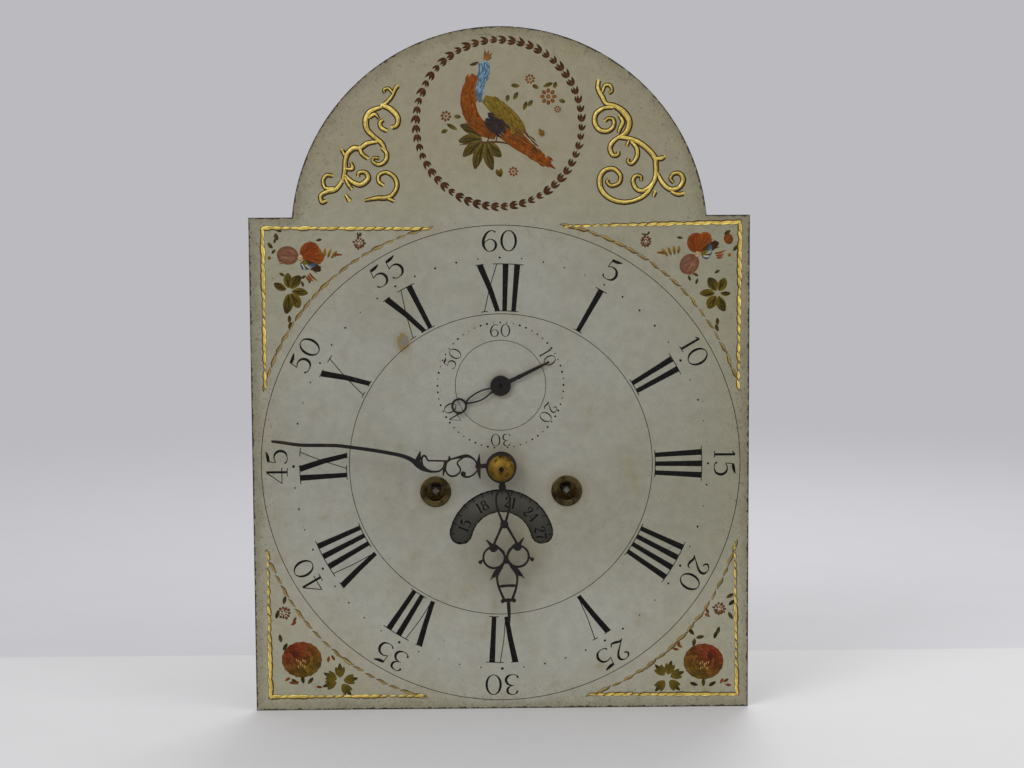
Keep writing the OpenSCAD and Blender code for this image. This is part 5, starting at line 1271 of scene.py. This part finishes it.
class CLOCK_OT_flowers(ClockOperator):
    """Paints the corners' pansies, roses, leaves and small flowers"""
    bl_idname = "clock.flowers"
    bl_label = "Paint the corner flowers"

    def execute(self, context):
        d = self.dial()
        paint = brushed_paint("flower paint", d)
        drawing = Drawing(CENTRE)
        for side in (-1, 1):
            pansy(drawing, Vector((-121.3, 128.1) if side < 0 else (120.3, 128.6)), 0 if side < 0 else -62)
            if side < 0:
                sprig, leaves = Vector((-128.4, 107.8)), (
                    (-150, 10, 7), (172, 12, 6.6), (-98, 9.6, 5.2), (-38, 9.6, 6.6), (2, 9, 5.6),
                    (62, 8.2, 4.8))
            else:
                sprig, leaves = Vector((132.8, 104.6)), (
                    (-150, 8.8, 6.8), (158, 9.8, 6), (-90, 8.8, 5), (-30, 9, 6.6), (25, 8.4, 6), (90, 6, 3))
            for k, (bearing, length, width) in enumerate(leaves):
                bearing *= side
                foot = polar(sprig, 1.9, bearing)
                drawing.leaf(foot, bearing, length, width, LEAF, DARK if k % 2 else OLIVE, 0.01, 0.04 * side)
                for lean in (-9, 6):
                    drawing.leaf(foot, bearing + lean, length * 0.8, 1.4, OLIVE if lean > 0 else DARK, DARK,
                                 0.04)
            for dx, dz, bearing in ((0, -15, 180), (1.4, -19, 160), (-12, 26, 40), (-8, 31, 20), (-5, 36, 60)):
                drawing.leaf((sprig.x - side * dx * 0.8, sprig.y + dz), side * bearing, 4.4, 2.4, DARK, OLIVE,
                             0.01)
            ring_flower(drawing, (89 if side > 0 else -85.5, 136.5), 3.1, srgb(124, 54, 26), 3 + side)
            for i in range(4):
                drawing.leaf((side * (99.6 - i * 1.3), 128.4 + i * 0.4), side * (20 + i * 22), 2.8, 1.3,
                             srgb(112, 58, 18), BROWN, 0.01 * i)
            if side > 0:
                drawing.spot((139.4, 137.8), 2.9, srgb(118, 64, 18), BROWN, 0.06, 1.2, 0.3)
            else:
                for x, z, bearing in ((-137, 137, 20), (-134.5, 139.5, -50), (-139.5, 134, -10),
                                      (-138.5, 130.5, 40)):
                    drawing.leaf((x, z), bearing, 3.4, 1.8, DARK, OLIVE, 0.01)
            drawing.spot((side * 140, 128), 1.2, OLIVE, STRAW)
            for i in range(4):
                drawing.leaf((side * (102.4 + i * 2.1), 127.4 + i * 0.5), side * (-36 + i * 15), 6 - i * 0.3, 2,
                             OLIVE, STRAW, 0.01)
            for i, (x, z) in enumerate(((121, 115.3), (116.2, 112.4), (119.5, 110.4), (131, 117), (108, 139))):
                drawing.leaf((side * x, z), side * (40 * i - 60), 3.6, 1.8, DARK, OLIVE, 0.01)
        # Of each lower corner: the rose, its leaf, then the sprays and dabs, all from the rose's middle
        for side, bloom, stem, leaves, sprays, dabs, small in (
                (-1, (-124, -120.6), (-100.6, -134.4), (-62, 0, 81, 143, -107),
                 ((-12.6, 11, -10), (-11.4, 6, 30), (-2.6, -15.4, -50), (0.8, -15, -10), (3.6, -15.2, 40),
                  (-15.6, 26, 20), (-10.8, 35, 15)),
                 ((18.4, 2.6, 150), (16.8, 2, 190), (8.6, -17, 100), (-10.6, -13.2, 60), (-8, -14.2, 100),
                  (-5.6, -15.2, 70), (-5, 23.4, 30), (-6.4, 21.8, 60)), (-10.6, 29.4)),
                (1, (124.8, -124), (102.2, -134.2), (-41, 14, 70, 135, -139),
                 ((-4.6, 15, 80), (-6, 17, -40), (-5.4, 14.6, 190), (6.6, 14.4, 20), (8.4, 17, 15),
                  (-3.6, -15, -70), (0, -15.6, 0), (3.4, -15.4, 60), (14.2, 40, 60), (15.6, 35.4, 50),
                  (15.4, 31, 150)),
                 ((-14.6, 10.4, -30), (-13.2, 9, -60), (-15.4, 7.6, -80), (10.4, -14, 30), (12.4, -13, 60),
                  (13.6, -14.6, 100), (3, 30, -20), (4, 28.2, -60)), (9.8, 33))):
            rose(drawing, bloom, side)
            for bearing in leaves:
                foot = polar(stem, 2.4, bearing)
                for split in (-22, 0, 22):
                    drawing.leaf(foot, bearing + split, 8.8 if split == 0 else 7, 3.2,
                                 LEAF, OLIVE if split else DARK, 0.012 + 0.006 * (split == 0))
            for i, (dx, dz, bearing) in enumerate(sprays):
                drawing.leaf((bloom[0] + dx, bloom[1] + dz), bearing, 5, 2.5, DARK if i % 2 else OLIVE, DARK,
                             0.01)
            for i, (dx, dz, bearing) in enumerate(dabs):
                drawing.leaf((bloom[0] + dx, bloom[1] + dz), bearing, 3.8, 1.9,
                             srgb(124, 62, 24) if i % 2 else BROWN, BROWN, 0.015)
            ring_flower(drawing, (bloom[0] + small[0], bloom[1] + small[1]), 3.5, srgb(124, 62, 26), 11 + side,
                        False)
        drawing.place("corner_flowers", paint)
        return {"FINISHED"}


class CLOCK_OT_wreath(ClockOperator):
    """Paints the wreath of paired leaves in the arch"""
    bl_idname = "clock.wreath"
    bl_label = "Paint the wreath"

    def execute(self, context):
        d = self.dial()
        paint = brushed_paint("wreath paint", d)
        pair, stem = loose_piece(), Drawing(CENTRE)
        for side in (1, -1):
            pair.paint([(1.9, side * 0.2, 0.9), (0.7, side * 1, 1.8), (-0.9, side * 1.75, 1.4),
                        (-2.4, side * (1.9 + 0.4 * side), 0.3)], srgb(72, 40, 24), srgb(48, 28, 16), 0.09, 3)
        pair.paint([(2, 0, 0.8), (0.6, -0.1, 2), (-1.2, -0.2, 1.5), (-2.5, -0.3, 0.4)], srgb(80, 50, 22),
                   srgb(56, 32, 16), 0.11, 0)
        line = [tuple(polar(WREATH, WREATH_RADIUS, 3 + 354 * i / 90)) for i in range(91)]
        meshes = [strokes_along(pair, line, paint, 5.6, 0, 1, 1, 3, 0.2, 0.16)]
        for i in range(44):
            radius = WREATH_RADIUS + 0.4 * math.sin(i * 1.7)
            a, b = (polar(WREATH, radius, 360 * (i + k) / 44) for k in (0.1, 0.9))
            stem.paint([(*a, 0.15), (*((a + b) / 2), 0.35), (*b, 0.15)], srgb(104, 82, 50), raised=0.05,
                       steps=0)
        twig = stem.mesh("stem")
        twig.materials.append(paint)
        settle(joined(meshes + [twig], "wreath"), "wreath", paint)
        return {"FINISHED"}


class CLOCK_OT_bird(ClockOperator):
    """Paints a perching bird among flowers inside the wreath"""
    bl_idname = "clock.bird"
    bl_label = "Paint the bird"

    def execute(self, context):
        d = self.dial()
        drawing = Drawing(CENTRE + WREATH)
        rng = random.Random(21)

        def feathers(points, width, colour, tip, count, spread, raised):
            """Short overlapping strokes down a line, spread to both sides of it."""
            line = smooth([(*p, 0) for p in points], 6)
            for i in range(count):
                k = rng.randrange(len(line) - 3)
                a, b = Vector(line[k][:2]), Vector(line[min(k + 3, len(line) - 1)][:2])
                along = (b - a).normalized()
                off = Vector((along.y, -along.x)) * rng.uniform(-spread, spread)
                light = rng.uniform(0.7, 1.3)
                p, q = a + off, a + off + along * rng.uniform(3, 5.4)
                drawing.paint([(*p, width * 0.4), (*((p + q) / 2), width), (*q, 0.2)], shaded(colour, light),
                              shaded(tip, light), raised, 0)

        for tip_bearing, length in ((-62, 15), (-96, 14), (-128, 15), (-160, 17), (168, 17), (140, 12)):
            foot = polar((-8, -9), 2.4, tip_bearing)
            drawing.leaf(foot, tip_bearing, length, 6.6, LEAF, srgb(60, 48, 20), 0, 0.05)
            for lean in (-7, 5):
                drawing.leaf(foot, tip_bearing + lean, length * 0.8, 1.5, OLIVE if lean > 0 else DARK, DARK,
                             0.035, 0.05)
        # Tail, back, breast, wing and neck, each over the one before
        drawing.paint(((4, -4, 12), (12, -11, 10.6), (21, -18, 7), (34, -27.5, 0.8)), srgb(112, 60, 12),
                      srgb(98, 44, 10))
        feathers([(6, -5), (14, -12), (22, -19), (31, -25.5)], 1.5, srgb(130, 66, 12), srgb(84, 40, 10), 110,
                 3.6, 0.1)
        feathers([(8, -4), (16, -10.5), (24, -17.5)], 1.1, srgb(78, 50, 26), srgb(60, 40, 22), 30, 4.2, 0.11)
        drawing.paint([(-9, 15, 5), (-3, 11, 9), (4, 5, 11), (10, -2, 11), (14, -7, 7)], srgb(100, 84, 24),
                      srgb(96, 74, 22), 0.08)
        feathers([(-7, 14), (0, 9), (7, 2), (12, -5)], 1.8, srgb(114, 94, 26), srgb(88, 66, 20), 90, 4.4, 0.12)
        drawing.paint([(-14, 29, 5), (-18, 21, 8), (-18.5, 12, 9.4), (-15.5, 3, 9), (-9, -4, 8), (-2, -8, 4)],
                      srgb(118, 60, 8), srgb(92, 48, 12), 0.09)
        feathers([(-15, 28), (-19, 19), (-19, 9), (-14, 0), (-7, -5)], 1.7, srgb(130, 66, 10), srgb(86, 42, 10),
                 110, 3.6, 0.13)
        drawing.spot((-2, -1.4), 6.6, srgb(34, 30, 38), srgb(48, 36, 26), 0.13, 5.2 / 6.6, 0.5, 20)
        feathers([(-8, 3), (-2, 0), (3, -5)], 1.6, srgb(28, 27, 42), srgb(56, 34, 18), 60, 4.2, 0.16)
        drawing.paint([(-9.5, 36.5, 5.4), (-9, 31, 6.4), (-11, 25, 6.6), (-12.5, 19, 5.4), (-11, 13, 2)],
                      srgb(58, 82, 106), srgb(64, 88, 104), 0.14)
        feathers([(-9.5, 38), (-8, 32), (-10, 25), (-12, 18)], 1.2, srgb(120, 152, 172), srgb(44, 66, 92), 60,
                 2.6, 0.18)
        drawing.paint([(-12.4, 27, 2), (-14.6, 20, 3.4), (-14.4, 13, 3)], srgb(126, 68, 14), srgb(116, 66, 20),
                      0.15, 4)
        for bearing, length in ((8, 5.4), (30, 6.2), (52, 6.4), (74, 5.2)):
            drawing.leaf((-9, 38.4), bearing, length, 1.7, srgb(132, 92, 34), srgb(92, 60, 28), 0.1, 0.1)
        drawing.leaf((-12, 37), -108, 5.6, 2, srgb(62, 44, 30), DARK, 0.12, -0.06)
        drawing.spot((-10.4, 37.2), 0.9, srgb(24, 22, 22), srgb(190, 182, 160), 0.22)
        for x in (-6, -1):
            drawing.paint([(x, -7, 0.9), (x - 0.6, -10, 0.7), (x - 2.2, -12, 0.4)], DARK, BROWN, 0.12)
        drawing.paint([(-24, -12.8, 0.5), (-12, -11.6, 1.2), (0, -11.2, 1.3), (8, -13, 0.4)], srgb(84, 60, 30),
                      srgb(62, 46, 24), 0.1)
        for k, (x, z, size, colour) in enumerate((
                (30, 16, 3.6, srgb(120, 74, 34)), (19, 26.6, 2.2, ORANGE), (35.6, 8.4, 1.6, ORANGE),
                (-32, 4.6, 2.4, BROWN), (8.6, -29, 2.2, ORANGE), (26, -6, 1.6, STRAW))):
            for i in range(8):
                a = math.tau * i / 8 + k
                drawing.spot((x + size * math.cos(a), z + size * math.sin(a)), size * 0.42,
                             [v * rng.uniform(0.7, 1.3) for v in colour], BROWN, 0.08, 0.8, a, 9)
            drawing.spot((x, z), size * 0.4, STRAW, BROWN, 0.1, 1, 0, 9)
        for x, z, bearing, length in (
                (27, 22, 70, 6), (24, 21, -60, 4), (12.6, 22.4, -84, 5), (9, 14.4, 30, 5), (5, 13.2, 10, 4),
                (15, 8, 20, 5.4), (17.6, 10.4, 40, 4.4), (24.4, -3.4, 150, 5), (1.2, -27, 185, 5.4),
                (-1.6, -27.6, 160, 4.6), (-25.4, -3.6, -60, 7), (-31, -3.8, -110, 4), (-27, 4.4, 95, 4),
                (33.4, 21, 20, 4), (36.4, 14, 110, 4)):
            drawing.leaf((x, z), bearing, length, 2.7, LEAF, DARK, 0.01)
        drawing.place("bird", brushed_paint("bird paint", d, 0.6, 0.98, 0.68, 1.3))
        return {"FINISHED"}


class CLOCK_OT_scrolls(ClockOperator):
    """Lays the raised gilt scrolls on each side of the arch over their brown outline, which is set a little low
    and right as a painted shadow; each scroll has a painted highlight on its upper left and painted shade on its
    lower right
    """
    bl_idname = "clock.scrolls"
    bl_label = "Gild the arch scrolls"

    def execute(self, context):
        d = self.dial()
        under, over = Drawing(CENTRE), Drawing(CENTRE)
        light, dark = d.gold, srgb(172, 142, 62)

        def moved(line, dx, dz, wider, width, more=0.0):
            """A line set aside by dx and dz, and by a share of its width, with another width."""
            return [(x + dx + wider * w, z + dz - wider * w, w * width + more) for x, z, w in line]

        for line in LEFT_SCROLLS + RIGHT_SCROLLS:
            # The brown outline, set a little low and to the right as a painted shadow
            under.paint(moved(line, 0.15, -0.2, 0, 1, 1.4), d.outline, srgb(52, 38, 16), 0.07, 6, FLAT)
            over.paint(moved(line, 0, 0, 0, 0.92), light, dark, 0.5, 6)
            # A painted highlight along the upper left of each scroll
            over.paint(moved(line, -0.25, 0.25, 0, 0.3), srgb(236, 218, 130), light, 0.56, 6)
            # Painted shade: a brown line along the lower right of each longer scroll
            if len(line) > 4:
                over.paint(moved(line[1:-1], 0, 0, 0.22, 0.22), srgb(112, 84, 30), raised=0.52, steps=6)
            for x, z, width in (line[0], line[-1]):
                if width > 1.3:
                    over.spot((x, z), width * 0.52, light, dark, 0.5, sides=12)
        under.place("scroll_outlines", brushed_paint("scroll outline paint", d))
        over.place("gilt_scrolls", gilding("scroll gilding", 0.62, 1.25))
        return {"FINISHED"}


def on_hand(points, bearing, flip=1):
    """Places on a hand, (along, to the clockwise side, width), as the dial sees them."""
    a = math.radians(bearing)
    return [(along * math.sin(a) + flip * side * math.cos(a), along * math.cos(a) - flip * side * math.sin(a),
             *width) for along, side, *width in points]


def ring_lines(along, side, radius, width):
    return [(along + radius * math.cos(a), side + radius * math.sin(a), width)
            for a in (math.tau * i / 28 for i in range(28))]


def boss(drawing, inner, outer, back, front):
    """A turned boss with its hole, slightly dished at the edge."""
    drawing.lathe((0, 0), [(inner, back), (outer, back), (outer, front + 0.25), (outer - 0.5, front),
                           (inner + 0.3, front), (inner, front + 0.2)], 64)


class CLOCK_OT_hands(ClockOperator):
    """Saws and files the pierced hands in dark blued steel"""
    bl_idname = "clock.hands"
    bl_label = "Make the hands"

    def execute(self, context):
        h = context.scene.clock_hands
        steel = metal("hand steel", h.blue, srgb(42, 32, 26), 0.42, 0.16, 0.5, metallic=0.75, rust=h.rust)
        for node, bearing in BEARINGS.items():
            low, high = node_box(node)
            front, back = low.y, low.y + HAND_THICK
            if node == "seconds_hand":
                back = front + SECONDS_THICK
            drawing = Drawing(SECONDS if node == "seconds_hand" else CENTRE)

            def line(points, flip=1, closed=False):
                stations = on_hand(points, bearing, flip)
                drawing.stroke(stations if closed else smooth(stations, 5), back, front + 0.03, FILED,
                               closed=closed)

            def ball(along, side, size, flip=1):
                drawing.dome(on_hand([(along, side)], bearing, flip)[0], back, front + 0.03, size, sides=20,
                             profile=((1, 0), (1, 0.7), (0.86, 0.97)))

            if node == "hour_hand":
                boss(drawing, HOUR_HOLE, h.hour_boss / MM, back, front)
                for points in HOUR_LOOPS:
                    line(points)
                for flip in (1, -1):
                    for points in HOUR_SIDES:
                        line(points, flip)
                    line(ring_lines(*HOUR_RING), flip, True)
                    for spot_at in HOUR_SIDE_BALLS:
                        ball(*spot_at, flip)
                for spot_at in HOUR_BALLS:
                    ball(*spot_at)
            elif node == "minute_hand":
                boss(drawing, MINUTE_HOLE, h.minute_boss / MM, back, front)
                for points in MINUTE_LINES:
                    line(points)
                for spot_at in MINUTE_BALLS:
                    ball(*spot_at)
            else:
                boss(drawing, SECONDS_HOLE, h.seconds_boss / MM, back, front)
                for points in SECONDS_LINES:
                    line(points)
                line(ring_lines(*SECONDS_RING), closed=True)
                pipe = [(SECONDS_HOLE, back), (2.6, back), (2.6, high.y), (SECONDS_HOLE, high.y)]
                drawing.lathe((0, 0), pipe, 24)
            body = {"hour_hand": "hour", "minute_hand": "centre", "seconds_hand": "escape"}[node]
            piece = drawing.place(node + "_filed", steel, body, "blued_steel", 25)
            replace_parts(piece, node)
        return {"FINISHED"}


class CLOCK_OT_collets(ClockOperator):
    """Turns the brass collets that line the winding holes"""
    bl_idname = "clock.collets"
    bl_label = "Turn the winding collets"

    def execute(self, context):
        m = context.scene.clock_metal
        low, high = node_box("winding_collets")
        outer = (high.x - low.x - abs(WINDING[1].x - WINDING[0].x)) / 2
        drawing = Drawing()
        for place in WINDING:
            drawing.lathe(place, [
                (WINDING_HOLE, high.y), (WINDING_HOLE + 1.1, high.y), (WINDING_HOLE + 1.1, DIAL_FACE + 0.02),
                (outer, DIAL_FACE + 0.02), (outer, low.y + 0.55), (outer - 0.4, low.y + 0.12),
                (outer - 1, low.y),
                (outer - 1.7, low.y + 0.18), (outer - 2.3, low.y + 0.22), (WINDING_HOLE + 0.9, low.y + 0.1),
                (WINDING_HOLE + 0.3, low.y + 0.3), (WINDING_HOLE, low.y + 0.7)], 96)
        brass = metal("collet brass", m.old_brass, srgb(38, 32, 24), 0.5, 0.12, 1.0, (1, 3, 1))
        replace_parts(drawing.place("winding_collets_turned", brass, "frame", "brass", 40), "winding_collets")
        return {"FINISHED"}


class CLOCK_OT_stage(ClockOperator):
    """Sets the pale table, the soft lights and the camera"""
    bl_idname = "clock.stage"
    bl_label = "Set the stage"

    def execute(self, context):
        s = context.scene.clock_stage
        level = CAD_BOX[0].z - 0.05 * MM
        mesh = bpy.data.meshes.new("table")
        corners = ((-1, -1), (1, -1), (1, 1), (-1, 1))
        mesh.from_pydata([(x * TABLE_HALF, y * TABLE_HALF, level) for x, y in corners], [], [(0, 1, 2, 3)])
        table = new_object("table", mesh)
        f = Finish("table", 0, 0.6)
        where = f.place()
        behind = f.fade(f.split(where)[1], BACKDROP_FOOT, BACKDROP_FOOT + 1.5)
        cloudy = f.fade(f.noise(where, 0.02, 3), 0.2, 0.8, 0.985, 1.01)
        f.put(f.shader.inputs["Base Color"], f.shade(f.mix(behind, s.table, s.backdrop), cloudy))
        # Far off, the camera sees the table as the backdrop
        glow = f.add("ShaderNodeEmission", {"Color": s.backdrop})
        far = f.fade(f.distance_to(where, (0, 0), (1, 1, 0)), 350, 1500)
        seen = f.add("ShaderNodeLightPath").outputs["Is Camera Ray"]
        f.put(f.end.inputs["Surface"], f.shown_to_camera(glow, f.shader, f.math("MULTIPLY", far, seen)))
        mesh.materials.append(f.material)

        world = bpy.data.worlds.new("room")
        context.scene.world = world
        world.use_nodes = True
        room = Nodes(world.node_tree)
        room.tree.nodes.clear()
        light = room.add("ShaderNodeBackground", {"Color": (1, 1, 1), "Strength": s.fill})
        shown = room.add("ShaderNodeBackground", {"Color": s.backdrop})
        seen = room.add("ShaderNodeLightPath").outputs["Is Camera Ray"]
        room.add("ShaderNodeOutputWorld", {0: room.shown_to_camera(shown, light, seen)})

        middle = (CAD_BOX[0] + CAD_BOX[1]) / 2
        # Lamps: their places in metres, their sizes and their powers
        for name, place, width, power in (("key", (-1.5, -2.0, 1.9), 1.3, s.key),
                                          ("side", (1.9, -1.2, 1.2), 1.5, s.key * 0.3),
                                          ("rear", (0.6, 2.2, 1.6), 1.4, s.key * 0.7)):
            lamp = bpy.data.lights.new(name, "AREA")
            lamp.energy, lamp.size = power, width
            thing = new_object(name, lamp)
            thing.location = place
            thing.rotation_euler = (middle - Vector(place)).to_track_quat("-Z", "Y").to_euler()

        camera = bpy.data.cameras.new("camera")
        camera.sensor_fit, camera.sensor_width, camera.lens = "HORIZONTAL", 36, LENS
        camera.clip_start, camera.clip_end = 0.01, 100
        thing = new_object("camera", camera)
        yaw, pitch, roll = CAMERA_AIM
        aim = Vector((-math.sin(yaw) * math.cos(pitch), math.cos(yaw) * math.cos(pitch), -math.sin(pitch)))
        level_right = Vector((math.cos(yaw), math.sin(yaw), 0))
        level_up = level_right.cross(aim)
        right = level_right * math.cos(roll) + level_up * math.sin(roll)
        up = level_up * math.cos(roll) - level_right * math.sin(roll)
        turn = Matrix((right, up, -aim)).transposed()
        thing.matrix_world = Matrix.Translation(Vector(CAMERA_PLACE) * MM) @ turn.to_4x4()
        context.scene.camera = thing
        context.scene.view_settings.view_transform = "Standard"
        return {"FINISHED"}


OPERATORS = (CLOCK_OT_metal, CLOCK_OT_ground, CLOCK_OT_hours, CLOCK_OT_minutes, CLOCK_OT_circles,
             CLOCK_OT_seconds, CLOCK_OT_date, CLOCK_OT_borders, CLOCK_OT_flowers, CLOCK_OT_wreath,
             CLOCK_OT_bird, CLOCK_OT_scrolls, CLOCK_OT_hands, CLOCK_OT_collets, CLOCK_OT_stage)
SETTINGS = {"clock_dial": ClockDialSettings, "clock_hands": ClockHandSettings,
            "clock_metal": ClockMetalSettings, "clock_stage": ClockStageSettings}


class CLOCK_PT_sidebar(bpy.types.Panel):
    """The clock's sizes and colours, and its steps in order"""
    bl_idname = "CLOCK_PT_sidebar"
    bl_label = "Longcase clock"
    bl_space_type = "VIEW_3D"
    bl_region_type = "UI"
    bl_category = "Clock"

    def draw(self, context):
        for key, group in SETTINGS.items():
            box = self.layout.box()
            box.label(text=key.replace("_", " ").capitalize())
            for name in group.__annotations__:
                box.prop(getattr(context.scene, key), name)
        for operator in OPERATORS:
            self.layout.operator(operator.bl_idname)


def register():
    for group in (*SETTINGS.values(), *OPERATORS, CLOCK_PT_sidebar):
        bpy.utils.register_class(group)
    for key, group in SETTINGS.items():
        setattr(bpy.types.Scene, key, bpy.props.PointerProperty(type=group))


def unregister():
    for key in SETTINGS:
        delattr(bpy.types.Scene, key)
    for group in reversed((*SETTINGS.values(), *OPERATORS, CLOCK_PT_sidebar)):
        bpy.utils.unregister_class(group)


def main():
    register()
    for operator in OPERATORS:
        family, name = operator.bl_idname.split(".")
        getattr(getattr(bpy.ops, family), name)()


if __name__ == "__main__":
    main()
